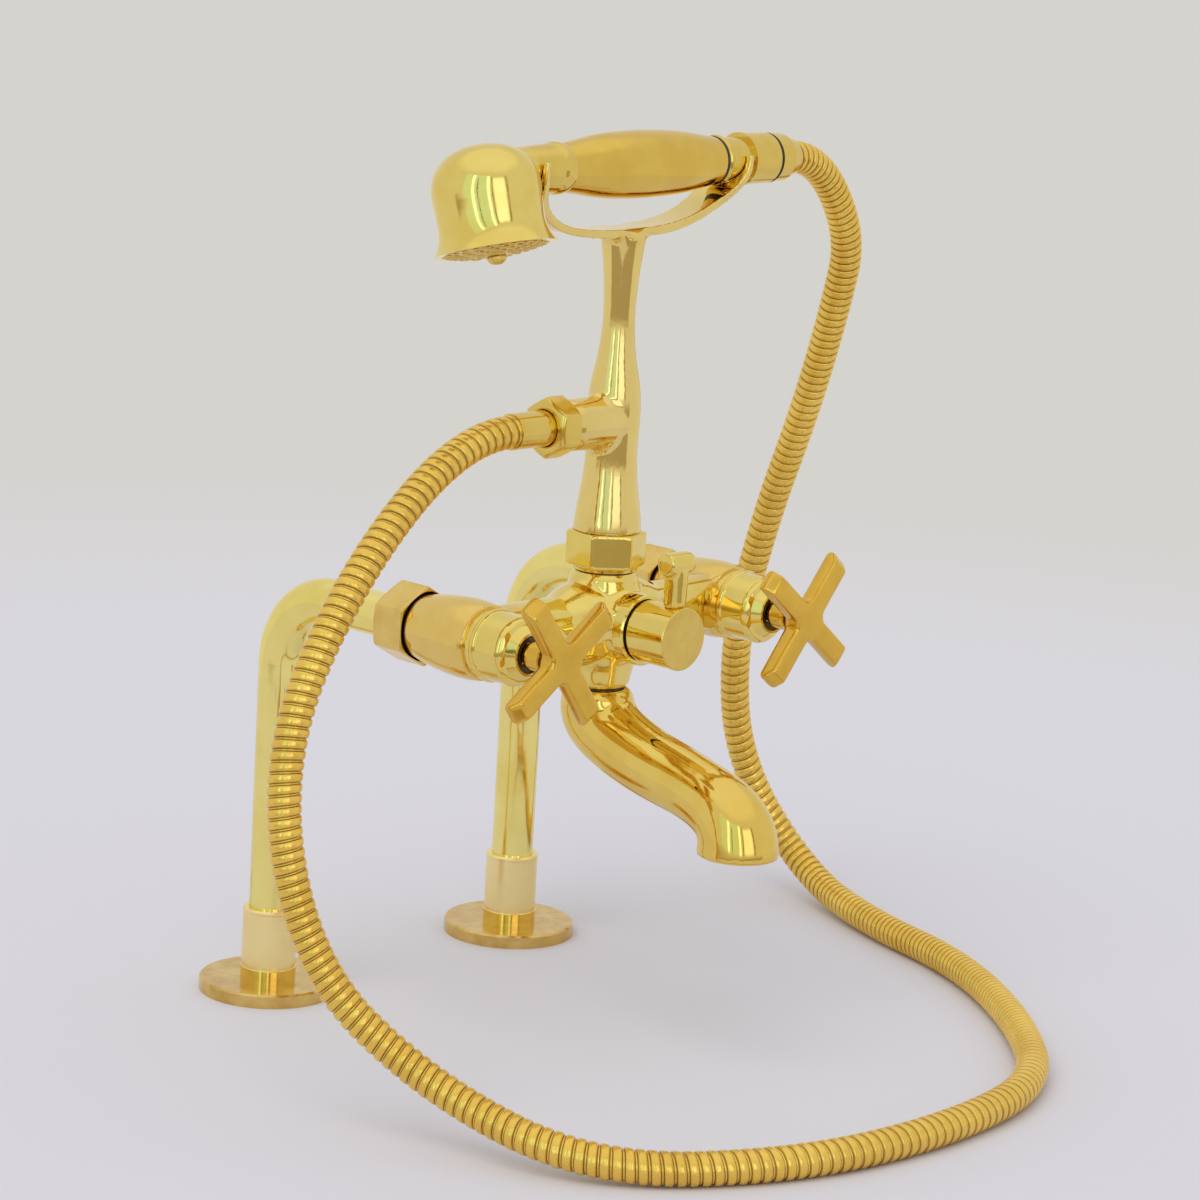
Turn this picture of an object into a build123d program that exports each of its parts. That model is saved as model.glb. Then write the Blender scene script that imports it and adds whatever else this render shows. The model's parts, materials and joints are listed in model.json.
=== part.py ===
from build123d import *
import math
import os

# Bath shower mixer with a telephone handset, standing on two legs that are bolted through a deck.
# Millimetres. X runs along the body, +Y points away from the bather, +Z up.
# The origin lies on the deck, midway between the two legs.

# Driving dimensions: where the axes lie
inlet_centres = 150.0
pipe_height = 180.0
body_reach = 118.0
branch_height = 265.5
handset_height = 373.0

# Fits
running_gap = 0.05
seal_slack = 0.2
joint_gap = 0.3
overrun = 5.0

# Feet and what clamps them to the deck
flange_radius = 30.0
flange_thickness = 6.0
flange_edge = 0.8
gasket_radius = 25.5
gasket_thickness = 2.0
deck_thickness = 20.0
shank_radius = 12.2
shank_height = 32.0
shank_base_height = 5.0
shank_relief = 0.3
shank_lip = 1.6
shank_edge = 0.7
tail_radius = 10.8
tail_depth = 58.0
tail_bore = 7.0
supply_radius = 10.4
supply_length = 26.0
undercut_radius = 9.6
thread_stand_out = 0.8
socket_depth = 18.0
back_washer_radius = 19.0
back_washer_thickness = 2.0
back_nut_flats = 32.0
back_nut_height = 8.0

# Leg tubes
tube_radius = 9.5
tube_wall = 1.2
bend_radius = 32.0

# Unions between the legs and the body, measured forwards from the body's cross axis
union_front = 29.0
union_length = 17.0
union_flats = 30.0
union_back_wall = 4.0
union_cavity_radius = 13.3
union_mouth_radius = 14.3
union_mouth_depth = 3.5
ferrule_thickness = 3.5
union_washer_thickness = 2.0
spigot_radius = 13.2

# Valve barrels, their crossbar and the middle of the body
barrel_radius = 16.9
barrel_length = 40.0
barrel_shares = [(0.0, 0.785), (0.16, 0.85), (0.34, 0.925), (0.54, 0.977), (0.74, 1.0), (0.89, 0.977), (1.0, 0.93)]
crossbar_radius = 12.8
crossbar_relief = 26.0
ball_radius = 20.5
shoulder_reach = 34.0
shoulder_shares = [(0.28, 1.41), (0.45, 1.36), (0.59, 1.27), (0.79, 1.065), (1.0, 1.0)]
neck_radius = 14.0
neck_height = 21.0
neck_shares = [(0.43, 1.305), (0.67, 1.14), (0.83, 1.06), (1.0, 1.0)]
port_radius = 12.7
port_depth = 28.3
port_shares = [(0.37, 1.37), (0.5, 1.275), (0.64, 1.18), (0.78, 1.11), (1.0, 1.0)]
boss_radius = 14.2
boss_reach = 20.0
inlet_bore = 8.0
gallery_bore = 7.0
chamber_radius = 10.2
chamber_depth = 8.0

# Valve headworks, along each valve's axis
cartridge_cavity = 10.6
cartridge_depth = 22.5
seat_seal_thickness = 2.0
cartridge_recess = 3.0
cartridge_waist = 9.0
cartridge_thread_length = 6.0
cartridge_neck = 6.9
disc_radius = 7.4
disc_thickness = 3.0
disc_port_radius = 1.8
disc_port_offset = 4.0
closed_turn = 90.0
spindle_radius = 4.0
spindle_foot_thickness = 2.5
spline_radius = 3.5
spline_length = 9.0
bonnet_radius = 14.6
bonnet_length = 24.5
bonnet_wall = 2.6
bonnet_mouth = 8.0
bonnet_bead_shares = [(0.12, 1.0), (0.19, 1.055), (0.265, 1.0)]
bonnet_nose_shares = [(0.715, 1.0), (0.79, 0.95), (0.85, 0.79)]
bonnet_tip_share = 0.62
bonnet_seal_thickness = 1.6
bonnet_seal_bore = 4.9

# Cross handles
handle_length = 20.7
hub_radius = 6.3
arm_reach = 32.5
arm_width = 9.8
arm_depth = 8.8
arm_tip_bevel = 4.0
arm_back_round = 3.0
arm_corner_share = 0.3
arm_edge = 0.6
hub_fillet_shares = [(-0.5, 1.0), (-0.2, 1.1), (0.25, 1.36)]
left_arm_angle = 36.0
right_arm_angle = 51.0
grub_radius = 1.5
grub_sink = 0.2

# Diverter
collar_radius = 15.2
collar_length = 6.0
collar_edge = 0.6
diverter_seal_thickness = 0.9
diverter_seal_radius = 13.0
knob_radius = 13.3
knob_length = 20.2
knob_edge = 0.4
rotor_radius = 10.1
rotor_length = 15.0
rotor_port = 5.0
rotor_side_port = 4.0
stem_radius = 4.5
stem_grip = 8.0
post_radius = 4.7
post_flare = 5.2
post_thread_radius = 2.8
post_thread_depth = 6.6
post_height = 29.0
post_setback = 6.0
cap_radius = 4.9
cap_flat_end = 7.5
cap_round_centre = 5.0

# Riser joint on top of the body
riser_seal_thickness = 1.2
riser_ring_thickness = 1.5
riser_nut_flats = 30.0
riser_nut_turn = 8.0
nut_corner_bevel = 1.6
riser_nut_height = 15.0
riser_spigot_radius = 11.9
riser_spigot_height = 8.0
riser_washer_thickness = 2.0
riser_tail_flange = 11.6
riser_tail_flange_thickness = 2.5
riser_tail_radius = 9.6
riser_bore = 5.5

# Riser column and cradle
column_radius = 14.5
column_shares = [
    (0.0, 1.0), (0.08, 0.93), (0.16, 0.83), (0.25, 0.765), (0.33, 0.775), (0.41, 0.79), (0.5, 0.72),
    (0.57, 0.60), (0.65, 0.505), (0.72, 0.47), (0.8, 0.49), (0.88, 0.545), (0.95, 0.62), (1.0, 0.70),
]
column_top_drop = 28.5
branch_radius = 10.9
branch_root_radius = 11.4
branch_reach = 30.0
branch_spigot_radius = 9.6
branch_spigot_length = 6.0
fork_left = -60.0
fork_right = 64.0
fork_length = 7.0
fork_wall = 2.6
left_seat_radius = 9.9
bow_underside_shares = [
    (-1.007, -0.129), (-1.013, 0.161), (-0.993, 0.387), (-0.917, 0.613), (-0.767, 0.794), (-0.5, 0.91), (0.0, 0.955),
    (0.417, 0.89), (0.617, 0.787), (0.783, 0.652), (0.933, 0.484), (1.03, 0.297), (1.077, 0.097), (1.087, -0.097),
]
bow_topside_shares = [
    (-0.967, -0.129), (-0.97, 0.148), (-0.947, 0.348), (-0.877, 0.529), (-0.74, 0.697), (-0.483, 0.803), (0.0, 0.832),
    (0.383, 0.774), (0.583, 0.684), (0.75, 0.555), (0.9, 0.394), (0.987, 0.239), (1.033, 0.077), (1.047, -0.097),
]
bow_flank_shares = [(-0.2, 1.0), (0.1, 1.0), (0.26, 0.93), (0.44, 0.77), (0.61, 0.65), (0.81, 0.6), (1.05, 0.6)]
bow_depth = 31.0
bow_span = 60.0

# Hose connection on the branch
branch_nut_length = 12.0
branch_nut_flats = 23.2
branch_nut_back_bevel = 2.2
branch_nut_front_bevel = 3.2
hose_washer_thickness = 1.5
hose_flange_radius = 9.5
hose_flange_thickness = 2.0
sleeve_radius = 7.6
sleeve_bore = 4.5
sleeve_end = 61.0

# Handset
bell_centre = -84.4
bell_tilt = 17.0
bell_radius = 22.3
bell_top = 11.2
bell_drop = 31.6
bell_rim_radius = 25.5
bell_wall = 1.8
bell_shares = [
    (0.035, 0.43), (0.131, 0.75), (0.285, 0.95), (0.425, 1.0), (0.56, 0.99), (0.717, 0.975), (0.822, 0.985),
    (0.904, 1.03),
]
bell_cavity_points = 8
bell_root_share = 0.4
plate_radius = 21.8
plate_thickness = 1.8
plate_inset = 0.3
plate_crown = 3.0
plate_crown_share = 0.75
nozzle_radius = 0.55
nozzle_rings = [(6, 0.34), (12, 0.56), (18, 0.78)]
head_seal_thickness = 0.8
head_seal_width = 2.0
plate_boss_radius = 4.6
plate_screw_radius = 3.9
plate_screw_drop = 3.2
plate_screw_stem = 2.0
plate_screw_length = 9.0
plate_screw_shares = [(1.0, 0.0), (0.92, 0.55), (0.4, 1.0)]
head_neck_inner = 9.4
head_neck_outer = 10.3
head_neck_end = -47.0
grip_collar_radius = 10.9
grip_start = -40.4
grip_end = 51.0
grip_radius = 14.3
grip_shares = [
    (0.0, 0.70), (0.10, 0.785), (0.24, 0.92), (0.39, 0.985), (0.52, 1.0), (0.66, 0.97), (0.80, 0.90),
    (0.91, 0.80), (1.0, 0.72),
]
water_tube_radius = 6.5
water_tube_wall = 1.0
grip_ring_width = 1.4
grip_ring_radius = 10.4
tail_bead_radius = 10.8
tail_bead_width = 3.4
tail_step = 0.8
tail_step_height = 0.2
tail_neck_radius = 9.5
tail_ring_radius = 11.4
tail_ring_start = 68.6
tail_ring_width = 1.6
socket_radius = 11.0
socket_end = 84.9
socket_spigot_length = 5.0
cone_oring_width = 1.8
cone_radius = 10.8
cone_straight = 8.0
cone_shoulder_radius = 10.3
cone_length = 14.9
cone_sleeve_radius = 6.9
cone_mouth_radius = 8.0

# Hose: route points chosen along the hose that is seen, from the branch to the handset
hose_radius = 7.0
hose_bore = 4.5
hose_groove = 0.55
hose_ribs = 196
hose_land_share = 0.72
hose_arc_share = 0.45
hose_route = [
    (-sleeve_end, -body_reach, branch_height),
    (-99.0, -body_reach, branch_height),
    (-160.0, -130.0, 220.0),
    (-195.0, -133.0, 151.0),
    (-188.0, -142.0, 75.0),
    (-156.0, -184.0, 19.0),
    (-138.0, -258.0, 7.0),
    (-74.0, -312.0, 7.0),
    (5.0, -319.0, 7.0),
    (82.0, -304.0, 7.0),
    (141.0, -253.0, 7.0),
    (184.0, -188.0, 7.0),
    (206.0, -116.0, 7.0),
    (236.0, -42.0, 14.0),
    (218.0, -4.0, 82.0),
    (199.0, -25.0, 155.0),
    (191.0, -53.0, 226.0),
    (178.0, -85.0, 291.0),
    (167.0, -109.0, 341.0),
    (152.0, -115.7, 361.1),
    (128.8, -body_reach, handset_height),
    (socket_end + cone_oring_width + cone_length, -body_reach, handset_height),
]

# Spout: its centre line from the body's port to the mouth, as shares of its reach and fall
spout_reach = 84.5
spout_fall = 55.8
spout_radius = 14.4
spout_wall = 2.6
spout_path_shares = [
    (0.0, 0.0), (0.0, 0.085), (0.03, 0.235), (0.155, 0.365), (0.34, 0.465), (0.53, 0.53), (0.71, 0.59), (0.90, 0.695),
    (0.985, 0.83), (1.0, 1.0),
]
spout_radius_shares = [0.885, 1.07, 1.10, 1.05, 1.02, 1.0, 0.98, 1.06, 1.14, 1.20]
spout_tilts = [0.0, 6.0, 32.0, 58.0, 70.0, 73.0, 68.0, 45.0, 16.0, 0.0]
spout_socket_depth = 9.0
spout_thread_radius = 10.0
spout_washer_thickness = 0.6

# Worked out from the sizes above
half_centres = inlet_centres / 2
union_front_reach = body_reach - union_front
union_back_reach = union_front_reach - union_length
ferrule_back = union_back_reach + union_back_wall
ferrule_front = ferrule_back + ferrule_thickness
spigot_start = ferrule_front + union_washer_thickness
barrel_start = union_front_reach - union_mouth_depth
barrel_front = barrel_start + barrel_length
bonnet_front = barrel_front + bonnet_length
hub_start = bonnet_front + joint_gap
handle_front = hub_start + handle_length
arm_back = handle_front - arm_depth
cartridge_start = barrel_front - cartridge_depth
body_top = pipe_height + neck_height
body_bottom = pipe_height - port_depth
ring_bottom = body_top + riser_seal_thickness
nut_bottom = ring_bottom + riser_ring_thickness
nut_top = nut_bottom + riser_nut_height
spigot_top = nut_bottom + riser_spigot_height
riser_washer_top = spigot_top + riser_washer_thickness
column_top = handset_height - column_top_drop
collar_front = body_reach + boss_reach + collar_length
knob_back = collar_front + diverter_seal_thickness
knob_front = knob_back + knob_length
disc_start = cartridge_start + seat_seal_thickness
moving_disc_start = disc_start + disc_thickness + running_gap
spindle_start = moving_disc_start + disc_thickness
cartridge_end = bonnet_front - cartridge_recess


# Frames in which turned pieces are drawn: their local Z is the piece's own axis
def upright(x, y):
    return Plane(origin=(x, y, 0), x_dir=(1, 0, 0), z_dir=(0, 0, 1))


def forwards(x):
    return Plane(origin=(x, 0, pipe_height), x_dir=(1, 0, 0), z_dir=(0, -1, 0))


def leftwards(height):
    return Plane(origin=(0, -body_reach, height), x_dir=(0, 1, 0), z_dir=(-1, 0, 0))


def rightwards(height):
    return Plane(origin=(0, -body_reach, height), x_dir=(0, 1, 0), z_dir=(1, 0, 0))


def outline_face(runs):
    """A face between joined runs of points: two points make a line, more make a smooth curve."""
    edges = []
    for run in runs:
        spots = [Vector(r, 0, h) for r, h in run]
        edges.append(Line(spots[0], spots[1]) if len(spots) == 2 else Spline(*spots))
    return make_face(Wire(edges).edges())


def turned_runs(place, *runs):
    """A solid of revolution about the place's axis, from joined runs of (radius, height) points."""
    return place.location * revolve(outline_face(runs), axis=Axis.Z)


def turned(place, points):
    """A solid of revolution with straight edges only."""
    closed = list(points) + [points[0]]
    return turned_runs(place, *[closed[i:i + 2] for i in range(len(points))])


def tube(place, outer, inner, low, high):
    return turned(place, [(inner, low), (outer, low), (outer, high), (inner, high)])


def rod(place, radius, low, high):
    return turned(place, [(0, low), (radius, low), (radius, high), (0, high)])


def curve_from(shares, length, radius, start=0.0):
    """Points of a smooth side: shares of a length and of a radius."""
    return [(radius * wide, start + length * along) for along, wide in shares]


def hexagon_bar(place, flats, low, high, turn=0.0):
    """A hexagonal bar along the place's axis; at no turn two corners lie on the place's Y axis."""
    across = flats / math.sqrt(3)
    spots = [(across * math.sin(math.radians(turn + 60 * i)), across * math.cos(math.radians(turn + 60 * i)))
             for i in range(6)]
    face = make_face(Polyline(*spots, close=True).edges())
    return place.location * (Pos(0, 0, low) * extrude(face, amount=high - low))


def hexagon_nut(place, flats, low, high, bores, turn=0.0, low_bevel=0.0, high_bevel=0.0):
    """A hexagonal nut with turned corner bevels and a stepped bore, given as tubes of (radius, low, high)."""
    nut = hexagon_bar(place, flats, low, high, turn)
    corner = flats / math.sqrt(3)
    slope = corner - flats / 2
    keeper = turned(place, [(0, low), (flats / 2 + slope - low_bevel, low), (corner + running_gap, low + low_bevel / 2),
                            (corner + running_gap, high - high_bevel / 2), (flats / 2 + slope - high_bevel, high), (0, high)])
    nut = nut & keeper
    for radius, start, end in bores:
        nut -= rod(place, radius, start, end)
    return nut


def write(name, shape):
    """Each piece goes to its own file; a list of like pieces shares one."""
    solids = shape if isinstance(shape, list) else [shape]
    found = [solid for item in solids for solid in item.solids()]
    keep = found[0] if len(found) == 1 else Compound(children=found)
    keep.label = name
    export_step(keep, f"parts/{name}.step")


# Feet
def foot_flange(x):
    place = upright(x, 0)
    top = flange_thickness
    bore = tail_radius + running_gap
    recess = gasket_radius + running_gap
    return turned(place, [
        (bore, gasket_thickness), (recess, gasket_thickness), (recess, 0), (flange_radius, 0),
        (flange_radius, top - flange_edge), (flange_radius - flange_edge, top), (bore, top),
    ])


def deck_gasket(x):
    return tube(upright(x, 0), gasket_radius, tail_radius + running_gap, 0, gasket_thickness)


def foot_shank(x):
    """A turned shank: collar above the flange, threaded tail below it, and a socket for the leg."""
    place = upright(x, 0)
    base = flange_thickness
    top = base + shank_height
    relief = shank_radius - shank_relief
    supply_top = supply_length - tail_depth
    thread_end = -deck_thickness - back_washer_thickness - back_nut_height - thread_stand_out
    return turned(place, [
        (tail_bore, -tail_depth), (supply_radius, -tail_depth), (supply_radius, supply_top),
        (undercut_radius, supply_top), (undercut_radius, thread_end), (tail_radius, thread_end),
        (tail_radius, base), (shank_radius, base),
        (shank_radius, base + shank_base_height), (relief, base + shank_base_height + shank_relief),
        (relief, top - shank_lip - shank_relief), (shank_radius, top - shank_lip), (shank_radius, top - shank_edge),
        (shank_radius - shank_edge, top), (tube_radius + running_gap, top),
        (tube_radius + running_gap, top - socket_depth), (tail_bore, top - socket_depth),
    ])


def back_washer(x):
    low = -deck_thickness - back_washer_thickness
    return tube(upright(x, 0), back_washer_radius, tail_radius + running_gap, low, -deck_thickness)


def back_nut(x):
    high = -deck_thickness - back_washer_thickness
    bore = tail_radius + running_gap
    low = high - back_nut_height
    return hexagon_nut(upright(x, 0), back_nut_flats, low, high, [(bore, low - overrun, high + overrun)],
                       low_bevel=flange_edge, high_bevel=flange_edge)


# Legs
def leg_route(x):
    foot = flange_thickness + shank_height - socket_depth
    corners = [(x, 0, foot), (x, 0, pipe_height), (x, -ferrule_front, pipe_height)]
    return Wire(FilletPolyline(*corners, radius=bend_radius).edges())


def leg_tube(x):
    route = leg_route(x)
    start = Plane(origin=route @ 0, z_dir=route % 0)
    outer = sweep(start * Circle(tube_radius), path=route)
    inner = sweep(start * Circle(tube_radius - tube_wall), path=route)
    return outer - inner


# Unions
def tube_ferrule(x):
    bore = tube_radius + running_gap
    outer = union_cavity_radius - seal_slack
    return tube(forwards(x), outer, bore, ferrule_back, ferrule_front)


def union_washer(x):
    outer = union_cavity_radius - seal_slack
    return tube(forwards(x), outer, inlet_bore, ferrule_front, spigot_start)


def union_nut(x):
    mouth = union_front_reach - union_mouth_depth
    return hexagon_nut(forwards(x), union_flats, union_back_reach, union_front_reach, [
        (tube_radius + running_gap * 2, union_back_reach - overrun, ferrule_back + overrun),
        (union_cavity_radius, ferrule_back, union_front_reach + overrun),
        (union_mouth_radius, mouth, union_front_reach + overrun),
    ], low_bevel=union_back_wall / 2)


# Body casting
def valve_barrel(x):
    place = forwards(x)
    side = curve_from(barrel_shares, barrel_length, barrel_radius, barrel_start)
    back = side[0]
    front = side[-1]
    barrel = turned_runs(place, [(0, barrel_start), back], side, [front, (0, barrel_front)],
                         [(0, barrel_front), (0, barrel_start)])
    return barrel + rod(place, spigot_radius, spigot_start, barrel_start + overrun)


def shoulder(place, shares, length, radius, core):
    """A flared shoulder that runs from the ball out to a neck."""
    side = curve_from(shares, length, radius)
    first = side[0]
    last = side[-1]
    return turned_runs(place, [(0, first[1]), first], side, [last, (0, last[1])],
                       [(0, last[1]), (0, first[1])]) + rod(place, core, 0, first[1] + running_gap)


def crossbar_clearance(side):
    """The crossbar's front is eased back to the barrel's front face, clear of the bonnet."""
    bar_front = body_reach + crossbar_radius
    corner = half_centres - bonnet_radius
    fade = corner - crossbar_relief
    far = half_centres + barrel_radius
    ahead = bar_front + overrun
    plan = outline_face([
        [(fade, bar_front), ((fade + corner) / 2, (bar_front * 2 + barrel_front) / 3), (corner, barrel_front)],
        [(corner, barrel_front), (far, barrel_front)],
        [(far, barrel_front), (far, ahead)],
        [(far, ahead), (fade, ahead)],
        [(fade, ahead), (fade, bar_front)],
    ])
    block = extrude(plan, amount=barrel_radius, both=True)
    turned_plan = Plane(origin=(0, 0, pipe_height), x_dir=(side, 0, 0), z_dir=(0, -1, 0))
    return turned_plan.location * block


def mixer_body():
    centre = (0, -body_reach, pipe_height)
    body = Pos(*centre) * Sphere(ball_radius)
    bar = rod(rightwards(pipe_height), crossbar_radius, -half_centres, half_centres)
    body += bar
    for side in (1, -1):
        arm_place = Plane(origin=centre, x_dir=(0, 1, 0), z_dir=(side, 0, 0))
        body += shoulder(arm_place, shoulder_shares, shoulder_reach, crossbar_radius, crossbar_radius)
        body -= crossbar_clearance(side)
        body += valve_barrel(side * half_centres)
    top_place = Plane(origin=centre, x_dir=(1, 0, 0), z_dir=(0, 0, 1))
    low_place = Plane(origin=centre, x_dir=(1, 0, 0), z_dir=(0, 0, -1))
    body += shoulder(top_place, neck_shares, neck_height, neck_radius, neck_radius)
    body += shoulder(low_place, port_shares, port_depth, port_radius, port_radius)
    upright_place = upright(0, -body_reach)
    body += rod(upright_place, riser_spigot_radius, body_top, spigot_top)
    body += rod(upright_place, spout_thread_radius, body_bottom - spout_socket_depth, body_bottom)
    body += rod(forwards(0), boss_radius, body_reach, body_reach + boss_reach)
    return body


def body_waterways(body):
    for x in (-half_centres, half_centres):
        place = forwards(x)
        body -= rod(place, inlet_bore, spigot_start - overrun, cartridge_start)
        body -= rod(place, cartridge_cavity, cartridge_start, barrel_front + overrun)
    cross_place = rightwards(pipe_height)
    body -= rod(cross_place, gallery_bore, -half_centres, half_centres)
    body -= rod(upright(0, -body_reach), gallery_bore, body_bottom - spout_socket_depth - overrun, spigot_top + overrun)
    chamber_start = body_reach - chamber_depth
    body -= rod(forwards(0), chamber_radius, chamber_start, body_reach + boss_reach + overrun)
    return body


# Valve headworks
def seat_seal(x):
    outer = cartridge_cavity - running_gap * 2
    return tube(forwards(x), outer, disc_port_offset + disc_port_radius, cartridge_start, disc_start)


def cartridge(x):
    """Headwork body: windowed waist, thread, and a neck that carries the bonnet."""
    place = forwards(x)
    thread_start = barrel_front - cartridge_thread_length
    cavity_end = spindle_start + spindle_foot_thickness + running_gap
    wide = cartridge_cavity - running_gap
    cavity = disc_radius + running_gap
    neck = spindle_radius + running_gap
    body = turned(place, [
        (cavity, disc_start), (cartridge_waist, disc_start), (cartridge_waist, thread_start),
        (wide, thread_start), (wide, barrel_front), (cartridge_neck, barrel_front), (cartridge_neck, cartridge_end),
        (neck, cartridge_end), (neck, cavity_end), (cavity, cavity_end),
    ])
    window_low = disc_start + disc_thickness * 2.4
    window_high = cavity_end + disc_thickness / 2
    mid = (window_low + window_high) / 2
    window = Box(cartridge_waist * 3, disc_port_offset * 2, window_high - window_low)
    return body - place.location * (Pos(0, 0, mid) * window)


def port_disc(x, start, turn):
    place = forwards(x)
    disc = rod(place, disc_radius, start, start + disc_thickness)
    for side in (1, -1):
        angle = math.radians(turn)
        spot = (side * disc_port_offset * math.cos(angle), side * disc_port_offset * math.sin(angle))
        hole = Pos(spot[0], spot[1], start + disc_thickness / 2) * Cylinder(disc_port_radius, disc_thickness * 2)
        disc -= place.location * hole
    return disc


def spindle(x):
    """Driving foot, round stem and splined end."""
    place = forwards(x)
    foot_end = spindle_start + spindle_foot_thickness
    stem_end = hub_start
    spline_end = stem_end + spline_length
    return turned(place, [
        (0, spindle_start), (disc_radius, spindle_start), (disc_radius, foot_end), (spindle_radius, foot_end),
        (spindle_radius, stem_end), (spline_radius, stem_end), (spline_radius, spline_end), (0, spline_end),
    ])


def bonnet(x):
    """A turned cover: a bead near the barrel, a plain cylinder and a coned front with a round mouth."""
    place = forwards(x)
    start = barrel_front
    bead = curve_from(bonnet_bead_shares, bonnet_length, bonnet_radius, start)
    nose = curve_from(bonnet_nose_shares, bonnet_length, bonnet_radius, start)
    tip = (bonnet_radius * bonnet_tip_share, bonnet_front)
    inner = bonnet_radius - bonnet_wall
    shelf = cartridge_end - overrun
    seat = cartridge_neck + running_gap
    return turned_runs(
        place,
        [(inner, start), (bonnet_radius, start)],
        [(bonnet_radius, start), bead[0]],
        bead,
        [bead[-1], nose[0]],
        nose,
        [nose[-1], tip],
        [tip, (bonnet_mouth, bonnet_front)],
        [(bonnet_mouth, bonnet_front), (bonnet_mouth, cartridge_end)],
        [(bonnet_mouth, cartridge_end), (seat, cartridge_end)],
        [(seat, cartridge_end), (seat, shelf)],
        [(seat, shelf), (inner, shelf - bonnet_wall)],
        [(inner, shelf - bonnet_wall), (inner, start)],
    )


def bonnet_seal(x):
    outer = bonnet_mouth - running_gap
    start = cartridge_end
    return tube(forwards(x), outer, bonnet_seal_bore, start, start + bonnet_seal_thickness)


def arm_section():
    """The arm's cross section: fine edges in front, well rounded ones at the back."""
    half = arm_width / 2
    side = half - arm_back_round * arm_corner_share
    low = half - arm_back_round
    heel = arm_back + arm_back_round
    corner = arm_back + arm_back_round * arm_corner_share
    face = make_face(Wire([
        Line((low, arm_back), (-low, arm_back)),
        Spline((-low, arm_back), (-side, corner), (-half, heel)),
        Line((-half, heel), (-half, handle_front - arm_edge)),
        Line((-half, handle_front - arm_edge), (arm_edge - half, handle_front)),
        Line((arm_edge - half, handle_front), (half - arm_edge, handle_front)),
        Line((half - arm_edge, handle_front), (half, handle_front - arm_edge)),
        Line((half, handle_front - arm_edge), (half, heel)),
        Spline((half, heel), (side, corner), (low, arm_back)),
    ]).edges())
    return Plane.YZ * face


def handle_arm(angle):
    """One arm, drawn in its own side view and pointing along local X."""
    tip = arm_reach
    back = arm_back
    front = handle_front
    bevel = arm_tip_bevel
    corner = arm_back_round * arm_corner_share
    side = [
        [(0, back), (tip - arm_back_round, back)],
        [(tip - arm_back_round, back), (tip - corner, back + corner), (tip, back + arm_back_round)],
        [(tip, back + arm_back_round), (tip, front - bevel)],
        [(tip, front - bevel), (tip - bevel, front)],
        [(tip - bevel, front), (0, front)],
        [(0, front), (0, back)],
    ]
    bar = extrude(outline_face(side), amount=arm_width / 2, both=True)
    return Rot(0, 0, angle) * (bar & extrude(arm_section(), amount=tip))


def cross_handle(x, angle):
    place = forwards(x)
    bore = spline_radius + running_gap
    spline_end = hub_start + spline_length
    fillet = curve_from(hub_fillet_shares, hub_radius, hub_radius, arm_back)
    flare = fillet[-1][0]
    hub = turned_runs(
        place,
        [(0, hub_start), (hub_radius, hub_start)],
        [(hub_radius, hub_start), fillet[0]],
        fillet,
        [fillet[-1], (flare, handle_front)],
        [(flare, handle_front), (0, handle_front)],
        [(0, handle_front), (0, hub_start)],
    )
    handle = hub
    for quarter in range(4):
        handle += place.location * handle_arm(angle + 90 * quarter)
    handle -= rod(place, bore, hub_start - overrun, spline_end)
    return handle - grub_hole(x)


def grub_place(x):
    height = (hub_start + arm_back) / 2
    return Plane(origin=(x, -height, pipe_height), x_dir=(1, 0, 0), z_dir=(0, 0, -1))


def grub_hole(x):
    return rod(grub_place(x), grub_radius + running_gap, 0, hub_radius + overrun)


def grub_screw(x):
    outer = hub_radius - grub_sink
    return rod(grub_place(x), grub_radius, spline_radius, outer)


# Diverter
def diverter_collar():
    place = forwards(0)
    back = body_reach + boss_reach
    bore = stem_radius + running_gap
    edge = collar_edge
    return turned(place, [
        (bore, back), (collar_radius - edge, back), (collar_radius, back + edge), (collar_radius, collar_front - edge),
        (collar_radius - edge, collar_front), (bore, collar_front),
    ])


def diverter_seal():
    bore = stem_radius + seal_slack
    return tube(forwards(0), diverter_seal_radius, bore, collar_front, knob_back - running_gap)


def diverter_rotor():
    """Barrel that turns in the body's chamber, with the stem that the knob is fixed to."""
    place = forwards(0)
    end = body_reach + boss_reach - running_gap
    start = end - rotor_length
    rotor = turned(place, [
        (0, start), (rotor_radius, start), (rotor_radius, end), (stem_radius, end),
        (stem_radius, knob_back + stem_grip), (0, knob_back + stem_grip),
    ])
    mouth = rod(place, rotor_port, start - overrun, start + rotor_length / 2)
    across = Plane(origin=(0, -start - rotor_port, pipe_height), z_dir=(0, 0, 1))
    return rotor - mouth - rod(across, rotor_side_port, 0, chamber_radius + overrun)


def diverter_knob():
    place = forwards(0)
    edge = knob_edge
    bore = stem_radius + running_gap
    end = knob_back + stem_grip
    knob = turned(place, [
        (bore, knob_back), (knob_radius, knob_back), (knob_radius, knob_front - edge),
        (knob_radius - edge, knob_front), (0, knob_front), (0, end), (bore, end),
    ])
    reach = knob_front - post_setback
    socket = Plane(origin=(0, -reach, pipe_height), z_dir=(0, 0, 1))
    foot = knob_radius - post_thread_depth - running_gap
    return knob - rod(socket, post_thread_radius + running_gap, foot, knob_radius + overrun)


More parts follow.
